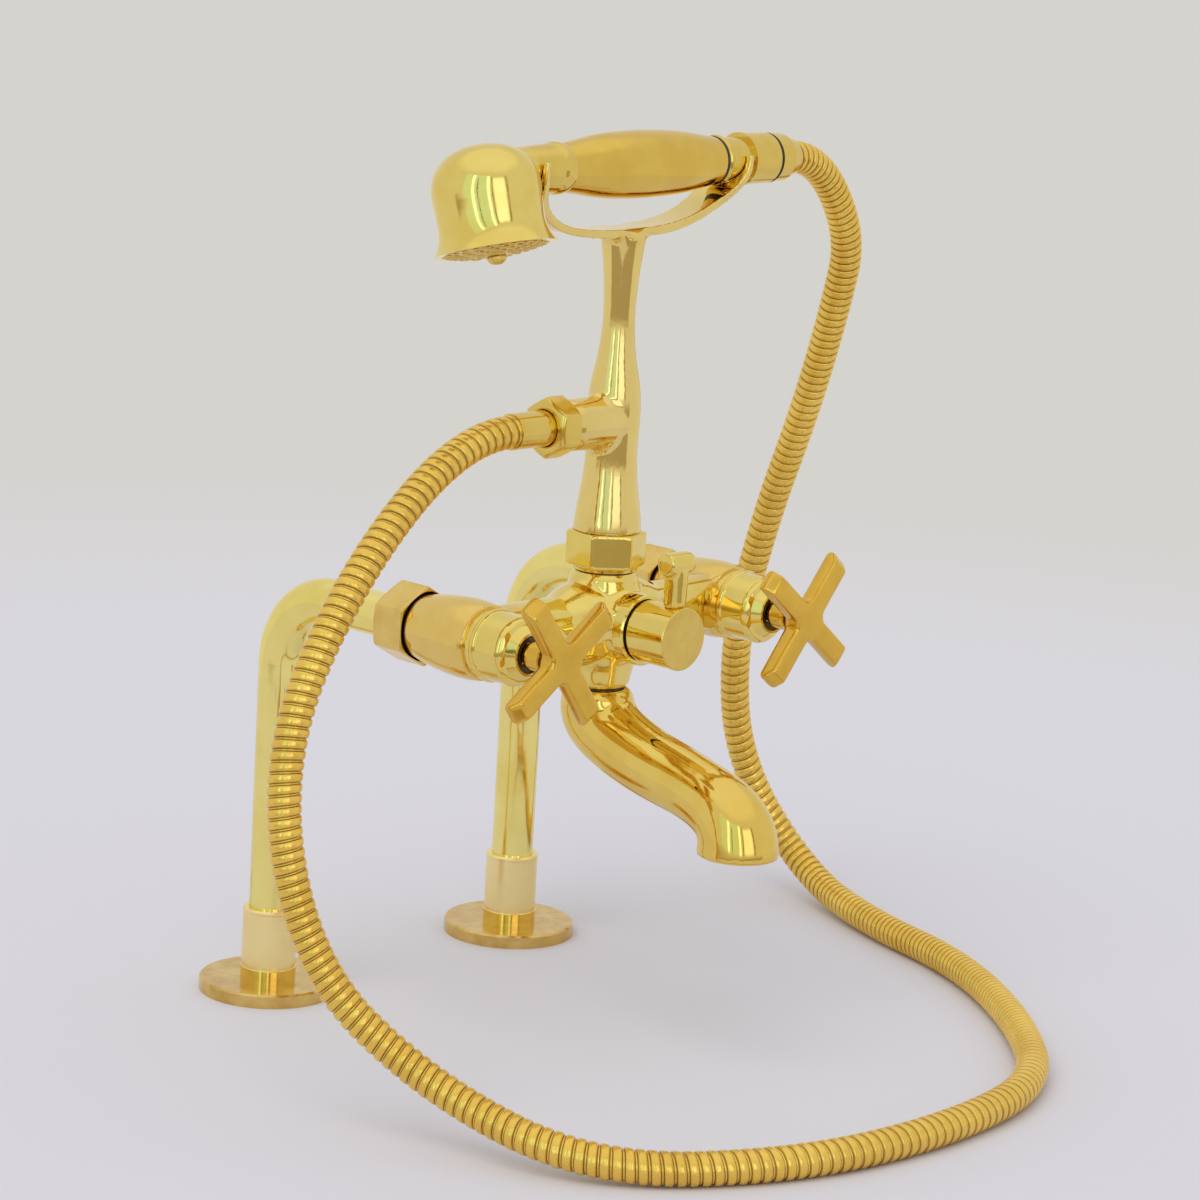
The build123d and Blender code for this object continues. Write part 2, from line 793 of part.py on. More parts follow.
def diverter_lever():
    """Post with a threaded foot in the knob and a bullet-shaped cap lying across its top."""
    reach = knob_front - post_setback
    place = Plane(origin=(0, -reach, pipe_height), z_dir=(0, 0, 1))
    foot = knob_radius - post_thread_depth
    skirt = math.sqrt(knob_radius ** 2 - post_radius ** 2)
    post = turned(place, [(0, skirt), (post_radius, skirt), (post_flare, post_height), (0, post_height)])
    post -= rod(forwards(0), knob_radius + running_gap, knob_back, knob_front + overrun)
    post += rod(place, post_thread_radius, foot, knob_radius + running_gap)
    cap_height = pipe_height + post_height + cap_radius / 2
    cap_place = Plane(origin=(0, -reach, cap_height), x_dir=(0, 1, 0), z_dir=(1, 0, 0))
    post += rod(cap_place, cap_radius, -cap_flat_end, cap_round_centre)
    post += Pos(cap_round_centre, -reach, cap_height) * Sphere(cap_radius)
    return post


# Riser joint
def riser_seal():
    bore = riser_spigot_radius + running_gap
    return tube(upright(0, -body_reach), neck_radius - riser_seal_thickness, bore, body_top, ring_bottom)


def riser_ring():
    bore = riser_spigot_radius + running_gap
    edge = riser_ring_thickness / 4
    return turned(upright(0, -body_reach), [
        (bore, ring_bottom), (neck_radius - edge, ring_bottom), (neck_radius, ring_bottom + edge),
        (neck_radius, nut_bottom - edge), (neck_radius - edge, nut_bottom), (bore, nut_bottom),
    ])


def riser_nut():
    tail_top = riser_washer_top + riser_tail_flange_thickness
    return hexagon_nut(upright(0, -body_reach), riser_nut_flats, nut_bottom, nut_top, [
        (riser_spigot_radius + running_gap, nut_bottom - overrun, tail_top),
        (riser_tail_radius + running_gap, nut_bottom, nut_top + overrun),
    ], turn=riser_nut_turn, low_bevel=nut_corner_bevel, high_bevel=nut_corner_bevel)


def riser_washer():
    return tube(upright(0, -body_reach), riser_tail_flange, riser_bore, spigot_top, riser_washer_top)


def riser_tail():
    """Flanged tailpiece that the nut pulls down onto the body."""
    tail_top = riser_washer_top + riser_tail_flange_thickness
    end = nut_top + riser_bore
    return turned(upright(0, -body_reach), [
        (riser_bore, riser_washer_top), (riser_tail_flange, riser_washer_top), (riser_tail_flange, tail_top),
        (riser_tail_radius, tail_top), (riser_tail_radius, end), (riser_bore, end),
    ])


# Riser with branch and cradle
def cradle_bow():
    """A strap bent like a smile, cut from its front view and narrowed in its side view."""
    def front_points(shares):
        return [(bow_span * along, handset_height - bow_depth * down) for along, down in shares]

    under = front_points(bow_underside_shares)
    over = front_points(bow_topside_shares)[::-1]
    front = outline_face([under, [under[-1], over[0]], over, [over[-1], under[0]]])
    wide = left_seat_radius + fork_wall
    strap = Pos(0, -body_reach, 0) * extrude(front, amount=wide, both=True)
    flank = [Vector(wide * half, bow_depth * -down) for down, half in bow_flank_shares]
    mirrored = [Vector(-spot.X, spot.Y) for spot in flank][::-1]
    side = make_face(Wire([
        Spline(*flank), Line(flank[-1], mirrored[0]), Spline(*mirrored), Line(mirrored[-1], flank[0]),
    ]).edges())
    place = Plane(origin=(0, -body_reach, handset_height), x_dir=(0, 1, 0), z_dir=(1, 0, 0))
    return strap & (place.location * extrude(side, amount=bow_span * 2, both=True))


def fork_channel(centre, radius):
    """The U that the handset's neck drops into, open upwards."""
    place = rightwards(handset_height)
    round_part = rod(place, radius, centre - fork_length, centre + fork_length)
    slot = Pos(centre, -body_reach, handset_height + radius / 2) * Box(fork_length * 2, radius * 2, radius)
    return round_part + slot


def riser():
    place = upright(0, -body_reach)
    column_length = column_top - nut_top
    side = curve_from(column_shares, column_length, column_radius, nut_top)
    column = turned_runs(place, [(0, nut_top), side[0]], side, [side[-1], (0, column_top)], [(0, column_top), (0, nut_top)])
    arm = turned(leftwards(branch_height), [
        (0, 0), (branch_root_radius, 0), (branch_radius, branch_reach), (branch_spigot_radius, branch_reach),
        (branch_spigot_radius, branch_reach + branch_spigot_length), (0, branch_reach + branch_spigot_length),
    ])
    shape = column + arm + cradle_bow()
    bead_end = grip_end + grip_ring_width + tail_bead_width
    shape -= fork_channel(fork_left, left_seat_radius)
    shape -= fork_channel(fork_right, tail_neck_radius + joint_gap)
    shape -= fork_channel(bead_end + joint_gap - fork_length, tail_bead_radius + joint_gap)
    shape -= rod(place, riser_tail_radius + running_gap, nut_top - overrun, nut_top + riser_bore)
    shape -= rod(place, riser_bore, nut_top, branch_height + riser_bore)
    shape -= rod(leftwards(branch_height), riser_bore, 0, branch_reach + branch_spigot_length + overrun)
    return shape


# Hose ends
def hose_ferrule(place, washer_face, end):
    """Flanged sleeve crimped on the hose's end."""
    flange_end = washer_face + hose_flange_thickness
    return turned(place, [
        (sleeve_bore, washer_face), (hose_flange_radius, washer_face), (hose_flange_radius, flange_end),
        (sleeve_radius, flange_end), (sleeve_radius, end), (sleeve_bore, end),
    ])


def branch_parts():
    place = leftwards(branch_height)
    washer_start = branch_reach + branch_spigot_length
    washer_end = washer_start + hose_washer_thickness
    nut_end = branch_reach + branch_nut_length
    washer = tube(place, hose_flange_radius, sleeve_bore, washer_start, washer_end)
    ferrule = hose_ferrule(place, washer_end, sleeve_end)
    flange_end = washer_end + hose_flange_thickness
    nut = hexagon_nut(place, branch_nut_flats, branch_reach, nut_end, [
        (branch_spigot_radius + running_gap, branch_reach - overrun, flange_end),
        (sleeve_radius + running_gap, branch_reach, nut_end + overrun),
    ], low_bevel=branch_nut_back_bevel, high_bevel=branch_nut_front_bevel)
    return washer, ferrule, nut


def cone_parts():
    """Conical hose nut at the handset's tail, with its ring, washer and sleeve."""
    place = rightwards(handset_height)
    spigot_end = socket_end + socket_spigot_length
    washer_end = spigot_end + hose_washer_thickness
    flange_end = washer_end + hose_flange_thickness
    start = socket_end + cone_oring_width
    thread = hose_flange_radius + running_gap
    sleeve = cone_sleeve_radius
    ring = tube(place, cone_radius - seal_slack, thread, socket_end, start)
    washer = tube(place, hose_flange_radius, sleeve_bore, spigot_end, washer_end)
    ferrule = turned(place, [
        (sleeve_bore, washer_end), (hose_flange_radius, washer_end), (hose_flange_radius, flange_end),
        (sleeve, flange_end), (sleeve, start + cone_length), (sleeve_bore, start + cone_length),
    ])
    nut = turned(place, [
        (thread, start), (cone_radius, start), (cone_shoulder_radius, start + cone_straight),
        (cone_mouth_radius, start + cone_length), (sleeve + running_gap, start + cone_length),
        (sleeve + running_gap, flange_end + running_gap), (thread, flange_end + running_gap),
    ])
    return ring, washer, ferrule, nut


# Hose
def hose_path():
    """Straight runs joined by tangent arcs, each as large as its two runs allow."""
    spots = [Vector(*spot) for spot in hose_route]
    radii = []
    for before, spot, after in zip(spots, spots[1:], spots[2:]):
        inward = spot - before
        onward = after - spot
        half_turn = math.radians(inward.get_angle(onward)) / 2
        shorter = min(inward.length, onward.length)
        radii.append(hose_arc_share * shorter / math.tan(half_turn))
    print("hose arc radii", [round(radius) for radius in radii])
    return FilletPolyline(*spots, radius=radii)


def hose_rings(path):
    """Four rings for each rib, with an X axis that is carried along the path without twist."""
    length = path.length
    pitch = (length - hose_radius * 4) / hose_ribs
    start = hose_radius * 2
    low = hose_radius - hose_groove
    ramp = pitch * (1 - hose_land_share) / 4
    stations = [(0.0, hose_radius), (start - ramp, hose_radius)]
    for rib in range(hose_ribs):
        foot = start + rib * pitch
        stations.append((foot, low))
        stations.append((foot + ramp, hose_radius))
        stations.append((foot + ramp + pitch * hose_land_share, hose_radius))
        stations.append((foot + pitch - ramp, low))
    stations.append((length - start + ramp, hose_radius))
    stations.append((length, hose_radius))
    rings = []
    steady = Vector(0, 1, 0)
    for along, radius in stations:
        share = along / length
        spot = path @ share
        forward = path % share
        steady = (steady - forward * steady.dot(forward)).normalized()
        rings.append(Plane(origin=spot, x_dir=steady, z_dir=forward) * Circle(radius))
    return rings


def shower_hose():
    path = hose_path()
    wire = Wire(path.edges())
    outside = loft(hose_rings(wire), ruled=True)
    start = Plane(origin=wire @ 0, z_dir=wire % 0)
    bore = sweep(start * Circle(hose_bore), path=wire)
    hose = outside - bore
    section = math.pi * (hose_radius ** 2 - hose_bore ** 2)
    print("hose length", round(wire.length, 1), "volume share of a plain tube", round(hose.volume / (section * wire.length), 3))
    return hose


# Handset
def bell_place():
    tilt = math.radians(bell_tilt)
    return Plane(origin=(bell_centre, -body_reach, handset_height), x_dir=(1, 0, 0),
                 z_dir=(0, math.sin(tilt), math.cos(tilt)))


def bell_side(inset):
    """Points from the dome's top round to the rim, moved inwards by an inset."""
    top = bell_top - inset
    fall = top + bell_drop
    return [(0, top)] + [(bell_radius * wide - inset, top - fall * along) for along, wide in bell_shares]


def handset_head():
    """Bell with the neck that enters its side, the water way and the boss for the plate's screw."""
    place = bell_place()
    outside = bell_side(0)
    rim = (bell_rim_radius, -bell_drop)
    shell = turned_runs(place, outside + [rim], [rim, (0, -bell_drop)], [(0, -bell_drop), (0, bell_top)])
    neck_place = rightwards(handset_height)
    inward = bell_centre + bell_radius * bell_root_share
    neck = turned(neck_place, [
        (0, inward), (head_neck_inner, inward), (head_neck_inner, bell_centre + bell_radius),
        (head_neck_outer, head_neck_end), (0, head_neck_end),
    ])
    shell += neck
    cavity_floor = -bell_drop + plate_inset + plate_thickness + head_seal_thickness
    inner = bell_side(bell_wall)[:bell_cavity_points]
    narrow = plate_radius - head_seal_width
    cavity = turned_runs(place, inner, [inner[-1], (narrow, cavity_floor)], [(narrow, cavity_floor), (0, cavity_floor)],
                         [(0, cavity_floor), inner[0]])
    shell -= cavity
    shell -= rod(place, plate_radius + running_gap, -bell_drop - overrun, cavity_floor)
    shell -= rod(neck_place, water_tube_radius + running_gap, bell_centre + bell_radius - bell_wall * 2, head_neck_end + overrun)
    boss = rod(place, plate_boss_radius, -bell_drop + plate_inset + plate_thickness + running_gap, bell_top - bell_wall)
    boss -= rod(place, plate_screw_stem + running_gap, -bell_drop, -bell_drop + plate_screw_length + overrun)
    return shell + boss


def head_seal():
    base = -bell_drop + plate_inset + plate_thickness
    return tube(bell_place(), plate_radius, plate_radius - head_seal_width, base, base + head_seal_thickness)


def spray_plate():
    """Slightly crowned disc with rings of small nozzle holes."""
    place = bell_place()
    back = -bell_drop + plate_inset + plate_thickness
    face = -bell_drop + plate_inset
    plate = turned_runs(
        place,
        [(plate_screw_stem + running_gap, back), (plate_radius, back)],
        [(plate_radius, back), (plate_radius, face)],
        [(plate_radius, face), (plate_radius / 2, face - plate_crown * plate_crown_share),
         (plate_screw_stem + running_gap, face - plate_crown)],
        [(plate_screw_stem + running_gap, face - plate_crown), (plate_screw_stem + running_gap, back)],
    )
    for count, share in nozzle_rings:
        for step in range(count):
            angle = math.radians(360 * step / count)
            spot = (plate_radius * share * math.cos(angle), plate_radius * share * math.sin(angle))
            hole = Pos(spot[0], spot[1], (back + face) / 2) * Cylinder(nozzle_radius, plate_thickness * 4)
            plate -= place.location * hole
    return plate


def plate_screw():
    """Domed screw head below the plate, with its stem up into the boss."""
    place = bell_place()
    face = -bell_drop + plate_inset - plate_crown
    end = -bell_drop + plate_screw_length
    dome = [(plate_screw_radius * wide, face - plate_screw_drop * along) for along, wide in plate_screw_shares]
    return turned_runs(
        place,
        dome,
        [dome[-1], (plate_screw_radius, face)],
        [(plate_screw_radius, face), (plate_screw_stem, face)],
        [(plate_screw_stem, face), (plate_screw_stem, end)],
        [(plate_screw_stem, end), (0, end)],
        [(0, end), dome[0]],
    )


def water_tube():
    start = bell_centre + bell_radius - bell_wall
    return tube(rightwards(handset_height), water_tube_radius, water_tube_radius - water_tube_wall, start, tail_ring_start)


def grip_collar():
    """Rounded bead between the head's neck and the grip."""
    place = rightwards(handset_height)
    bore = water_tube_radius + running_gap
    small = head_neck_outer
    mid = (head_neck_end + grip_start) / 2
    return turned_runs(
        place,
        [(bore, head_neck_end), (small, head_neck_end)],
        [(small, head_neck_end), (grip_collar_radius, mid), (small, grip_start)],
        [(small, grip_start), (bore, grip_start)],
        [(bore, grip_start), (bore, head_neck_end)],
    )


def grip():
    place = rightwards(handset_height)
    bore = water_tube_radius + running_gap
    side = curve_from(grip_shares, grip_end - grip_start, grip_radius, grip_start)
    return turned_runs(place, [(bore, grip_start), side[0]], side, [side[-1], (bore, grip_end)], [(bore, grip_end), (bore, grip_start)])


def grip_ring():
    bore = water_tube_radius + running_gap
    return tube(rightwards(handset_height), grip_ring_radius, bore, grip_end, grip_end + grip_ring_width)


def handset_tail():
    """Bead, neck that lies in the right saddle, raised ring, socket and threaded spigot."""
    place = rightwards(handset_height)
    start = grip_end + grip_ring_width
    bore = water_tube_radius + running_gap
    ring_end = tail_ring_start + tail_ring_width
    spigot_end = socket_end + socket_spigot_length
    bead_end = start + tail_bead_width
    neck_start = bead_end + tail_step
    step = tail_neck_radius + tail_step_height
    return turned_runs(
        place,
        [(bore, start), (tail_neck_radius, start)],
        [(tail_neck_radius, start), (tail_bead_radius, start + tail_bead_width / 2), (step, bead_end)],
        [(step, bead_end), (tail_neck_radius, neck_start)],
        [(tail_neck_radius, neck_start), (tail_neck_radius, tail_ring_start)],
        [(tail_neck_radius, tail_ring_start), (tail_ring_radius, tail_ring_start)],
        [(tail_ring_radius, tail_ring_start), (tail_ring_radius, ring_end)],
        [(tail_ring_radius, ring_end), (socket_radius, ring_end)],
        [(socket_radius, ring_end), (socket_radius, socket_end)],
        [(socket_radius, socket_end), (hose_flange_radius, socket_end)],
        [(hose_flange_radius, socket_end), (hose_flange_radius, spigot_end)],
        [(hose_flange_radius, spigot_end), (riser_bore, spigot_end)],
        [(riser_bore, spigot_end), (riser_bore, tail_ring_start)],
        [(riser_bore, tail_ring_start), (bore, tail_ring_start)],
        [(bore, tail_ring_start), (bore, start)],
    )


# Spout
def spout_sections(wall):
    """Circles along the spout's centre line, each set square to it by its own tilt."""
    rings = []
    for (forward, down), share, tilt in zip(spout_path_shares, spout_radius_shares, spout_tilts):
        angle = math.radians(tilt)
        spot = (0, -body_reach - spout_reach * forward, spout_top - spout_fall * down)
        facing = Plane(origin=spot, x_dir=(1, 0, 0), z_dir=(0, -math.sin(angle), -math.cos(angle)))
        rings.append(facing * Circle(spout_radius * share - wall))
    return rings


spout_top = body_bottom - spout_washer_thickness


def spout():
    outside = loft(spout_sections(0))
    inside = loft(spout_sections(spout_wall))
    shape = outside - inside
    place = upright(0, -body_reach)
    low = body_bottom - spout_socket_depth
    collar = tube(place, spout_radius * spout_radius_shares[0] - spout_wall / 2, spout_thread_radius, low, spout_top)
    shape += collar
    return shape - rod(place, spout_thread_radius + running_gap, low, spout_top + overrun)


def spout_washer():
    outer = spout_radius * spout_radius_shares[0] - joint_gap
    return tube(upright(0, -body_reach), outer, spout_thread_radius + running_gap, spout_top, body_bottom)


def make_all():
    left = -half_centres
    right = half_centres
    sides = (("left", left, left_arm_angle), ("right", right, right_arm_angle))
    for name, x, angle in sides:
        write(f"foot_flange_{name}", foot_flange(x))
        write(f"foot_shank_{name}", foot_shank(x))
        write(f"leg_tube_{name}", leg_tube(x))
        write(f"union_nut_{name}", union_nut(x))
        write(f"cartridge_{name}", cartridge(x))
        write(f"moving_disc_{name}", port_disc(x, moving_disc_start, closed_turn))
        write(f"spindle_{name}", spindle(x))
        write(f"bonnet_{name}", bonnet(x))
        write(f"handle_{name}", cross_handle(x, angle))
        write(f"handle_screw_{name}", grub_screw(x))
    write("deck_gaskets", [deck_gasket(left), deck_gasket(right)])
    write("back_washers", [back_washer(left), back_washer(right)])
    write("back_nuts", [back_nut(left), back_nut(right)])
    write("tube_ferrules", [tube_ferrule(left), tube_ferrule(right)])
    write("union_washers", [union_washer(left), union_washer(right)])
    write("seat_seals", [seat_seal(left), seat_seal(right)])
    write("fixed_discs", [port_disc(left, disc_start, 0), port_disc(right, disc_start, 0)])
    write("bonnet_seals", [bonnet_seal(left), bonnet_seal(right)])
    write("mixer_body", body_waterways(mixer_body()))
    write("diverter_collar", diverter_collar())
    write("diverter_seal", diverter_seal())
    write("diverter_rotor", diverter_rotor())
    write("diverter_knob", diverter_knob())
    write("diverter_lever", diverter_lever())
    write("riser_seal", riser_seal())
    write("riser_ring", riser_ring())
    write("riser_nut", riser_nut())
    write("riser_washer", riser_washer())
    write("riser_tail", riser_tail())
    write("riser", riser())
    branch_washer, branch_ferrule, branch_nut = branch_parts()
    write("branch_washer", branch_washer)
    write("branch_ferrule", branch_ferrule)
    write("branch_nut", branch_nut)
    cone_ring, cone_washer, cone_ferrule, cone_nut = cone_parts()
    write("cone_ring", cone_ring)
    write("cone_washer", cone_washer)
    write("cone_ferrule", cone_ferrule)
    write("cone_nut", cone_nut)
    write("shower_hose", shower_hose())
    write("handset_head", handset_head())
    write("head_seal", head_seal())
    write("spray_plate", spray_plate())
    write("plate_screw", plate_screw())
    write("water_tube", water_tube())
    write("grip_collar", grip_collar())
    write("grip", grip())
    write("grip_ring", grip_ring())
    write("handset_tail", handset_tail())
    write("spout", spout())
    write("spout_washer", spout_washer())


os.makedirs("parts", exist_ok=True)
make_all()
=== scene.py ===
import json
import math

import bmesh
import bpy
import numpy
from bpy.props import FloatProperty, FloatVectorProperty, IntProperty, PointerProperty
from mathutils import Matrix, Vector


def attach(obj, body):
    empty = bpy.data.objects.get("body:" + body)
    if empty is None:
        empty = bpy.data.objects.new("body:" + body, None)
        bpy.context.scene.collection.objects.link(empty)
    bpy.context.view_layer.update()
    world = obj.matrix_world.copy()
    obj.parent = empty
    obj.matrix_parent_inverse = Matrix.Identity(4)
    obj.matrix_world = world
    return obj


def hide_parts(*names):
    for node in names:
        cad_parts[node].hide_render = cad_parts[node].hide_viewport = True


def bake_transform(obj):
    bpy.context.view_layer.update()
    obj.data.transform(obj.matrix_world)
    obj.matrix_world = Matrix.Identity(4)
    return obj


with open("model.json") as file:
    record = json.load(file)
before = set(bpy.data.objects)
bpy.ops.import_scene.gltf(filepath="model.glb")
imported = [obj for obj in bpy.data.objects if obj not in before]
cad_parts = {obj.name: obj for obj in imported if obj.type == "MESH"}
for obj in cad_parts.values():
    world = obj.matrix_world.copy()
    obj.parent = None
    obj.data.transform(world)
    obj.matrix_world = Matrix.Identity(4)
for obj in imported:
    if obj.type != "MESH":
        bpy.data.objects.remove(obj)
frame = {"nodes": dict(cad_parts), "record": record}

bl_info = {
    "name": "Bath Shower Mixer",
    "version": (1, 0, 0),
    "blender": (4, 5, 0),
    "location": "3D View > Sidebar > Bath Mixer",
    "description": "Dresses a deck-mounted bath shower mixer: polished castings, ribbed hose, satin nuts and handles",
    "category": "Object",
}

NODES = frame["nodes"]
BODIES = frame["record"]["behaviour"]["bodies"]
BODY_OF = {node: body for body, nodes in BODIES.items() for node in nodes}
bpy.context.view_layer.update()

# Where the camera stands: a long lens, turned to the side and looking slightly down
LENS = 121.16
SENSOR = 36.0
CAMERA_AZIMUTH = math.radians(46.98)
CAMERA_PITCH = math.radians(11.91)
CAMERA_ROLL = math.radians(3.3)
CAMERA_DISTANCE = 1.7437
LOOK_AT = Vector((0.0, -0.070, 0.190))
LOOK_SHIFT = (0.0334, -0.0105)

# Half widths of the deck that the brass mirrors and of the floor around it, how far apart they lie, where their middle
# is, and between which distances from it the deck's paint turns into the far floor's
NEAR_DECK = 0.70
FAR_DECK = 30.0
FLOOR_DROP = 0.0003
FLOOR_MIDDLE = -0.1
# Near the mixer the deck's paint is a little lighter: painted light that lifts the shade falling there
PAINT_CHANGE = (0.55, 1.5)
DECK_ROUGHNESS = 0.8
DECK_SHINE = 0.1
FLOOR_CELLS = 8

# Light: where the side lamp points, how wide it is, and the colours of both lights
LAMP_DIRECTION = Vector((0.75, 0.25, -1.0))
LAMP_SPREAD = math.radians(50.0)
LAMP_COLOUR = (1.0, 0.99, 0.97)
FILL_COLOUR = (0.98, 0.99, 1.0, 1.0)

# The room that the brass mirrors: a wall colour, then patches of it, each with its left and right edge as turns in
# radians from the camera's side, its lowest and highest upward share, and how soft its edge is
ROOM_WALL = (0.74, 0.73, 0.70)
ROOM_PATCHES = [
    ((0.88, 0.87, 0.84), (-9.0, 9.0, 0.72, 2.0, 0.10)),
    ((0.44, 0.38, 0.29), (-1.15, 1.25, -0.75, -0.07, 0.05)),
    ((0.72, 0.92, 0.92), (-0.84, 0.20, -0.02, 0.62, 0.025)),
    ((1.75, 1.90, 2.10), (-0.52, -0.43, -0.02, 0.60, 0.02)),
    ((1.75, 1.90, 2.10), (0.05, 0.13, -0.02, 0.60, 0.02)),
    ((0.16, 0.14, 0.09), (-0.322, -0.290, -0.01, 0.52, 0.01)),
    ((0.34, 0.27, 0.16), (0.215, 0.265, -0.02, 0.58, 0.012)),
    ((1.35, 1.36, 1.55), (0.285, 0.74, 0.00, 0.54, 0.05)),
    ((0.34, 0.27, 0.16), (0.79, 0.85, -0.02, 0.58, 0.025)),
]

# The hose's route as control points: out of the branch, round the front on the deck, and up to the handset
HOSE_ROUTE = [
    (-0.061, -0.118, 0.2655), (-0.0893, -0.118, 0.2655), (-0.1557, -0.1274, 0.2175),
    (-0.1945, -0.1286, 0.1476), (-0.1901, -0.1474, 0.0687), (-0.161, -0.1897, 0.0244),
    (-0.1432, -0.2633, 0.007), (-0.0737, -0.3082, 0.007), (0.0079, -0.3178, 0.007),
    (0.0857, -0.3041, 0.007), (0.1446, -0.2466, 0.007), (0.1904, -0.1772, 0.007),
    (0.2087, -0.106, 0.007), (0.2363, -0.0438, 0.0105), (0.2185, -0.0104, 0.0621),
    (0.1945, -0.0229, 0.1272), (0.1827, -0.0481, 0.1927), (0.1693, -0.0805, 0.253),
    (0.1578, -0.1034, 0.3037), (0.1497, -0.1161, 0.3368), (0.1205, -0.118, 0.373),
    (0.1016, -0.118, 0.373),
]
HOSE_STEPS = 48
HOSE_BORE = 0.0045

# One rib of the wound strip: where along the rib, how deep, and how dark the painted shade in its groove lies there
RIB_PROFILE = [
    (0.0, 0.42, 0.4), (0.03, 0.20, 0.05), (0.11, 0.07, 0.0), (0.24, 0.0, 0.0), (0.44, 0.0, 0.0), (0.58, 0.08, 0.0),
    (0.68, 0.24, 0.1), (0.73, 0.55, 0.5), (0.76, 1.0, 1.0), (0.80, 0.70, 0.15), (0.88, 0.58, 0.0), (0.965, 1.0, 0.9),
]
# The strip is stretched more in some places: share of the length, share of the rib pitch
PITCH_SHARES = [
    (0.0, 0.98), (0.1, 0.94), (0.2, 0.88), (0.27, 0.97), (0.36, 1.03), (0.42, 1.06), (0.47, 1.02), (0.51, 0.75),
    (0.63, 0.72), (0.68, 0.86), (0.73, 0.95), (0.77, 1.08), (0.82, 1.0), (0.87, 0.91), (0.92, 0.80), (1.0, 0.70),
]

# Castings: where inner corners are soft, and how far the softness reaches, in steps of the mesh
CAST_ZONES = {
    "mixer_body": [((0.0, -0.118, 0.180), 0.040), ((-0.062, -0.118, 0.180), 0.030), ((0.062, -0.118, 0.180), 0.030)],
    "riser": [((-0.004, -0.118, 0.2655), 0.034), ((0.0, -0.118, 0.3445), 0.034)],
}
CAST_ROUNDS = 60
SOFTEN_STEP = 0.6
# Smaller castings with every edge rubbed round: mesh size and rounds
RUBBED = {
    "handle_left": (0.0005, 18), "handle_right": (0.0005, 18), "spout": (0.0007, 8),
    "diverter_lever": (0.0003, 45), "branch_nut": (0.0004, 22), "riser_nut": (0.0004, 9),
    "union_nut_left": (0.0005, 5), "union_nut_right": (0.0005, 5),
}
# Washers whose rim lies below the joint, so that a thin dark line shows: number of the axis, and how deep
RECESSED = {"spout_washer": (2, 0.0009), "diverter_seal": (1, 0.0009)}
# A spot is hollow where its neighbours' middle stands out by this share of the mesh size; lone ones are left out, and
# the rest grow and blur by these numbers of rounds. Each zone fades over the last share of its radius
HOLLOW_SHARE = 0.08
HOLLOW_COMPANY = 0.3
HOLLOW_REACH = 5
HOLLOW_BLUR = 4
ZONE_FADE = 0.2

# Spray face: the bell's own frame, and in it, in millimetres, the plate, its screw's slot and the rings of nozzles as
# count, share of the radius and turn
BELL_CENTRE = Vector((-0.0844, -0.118, 0.373))
BELL_TILT = math.radians(17.0)
BELL_AXIS = Vector((0.0, math.sin(BELL_TILT), math.cos(BELL_TILT)))
PLATE_RADIUS = 21.8
PLATE_FACE = -31.3
PLATE_CROWN = 3.0
NOZZLE_RINGS = [(6, 0.34, 0.0), (9, 0.45, 0.5), (12, 0.56, 0.0), (15, 0.67, 0.5), (18, 0.78, 0.0), (24, 0.9, 0.5)]
NOZZLE_PROFILE = [(1.3, -0.15), (1.15, 0.25), (0.9, 0.5), (0.65, 0.45), (0.5, 0.2), (0.5, -0.3)]
NOZZLE_SIDES = 12
SCREW_SLOT_FLOOR = -36.3
SCREW_SLOT_WIDTH = 1.1
# Mesh size of that screw
SCREW_DETAIL = 0.0002

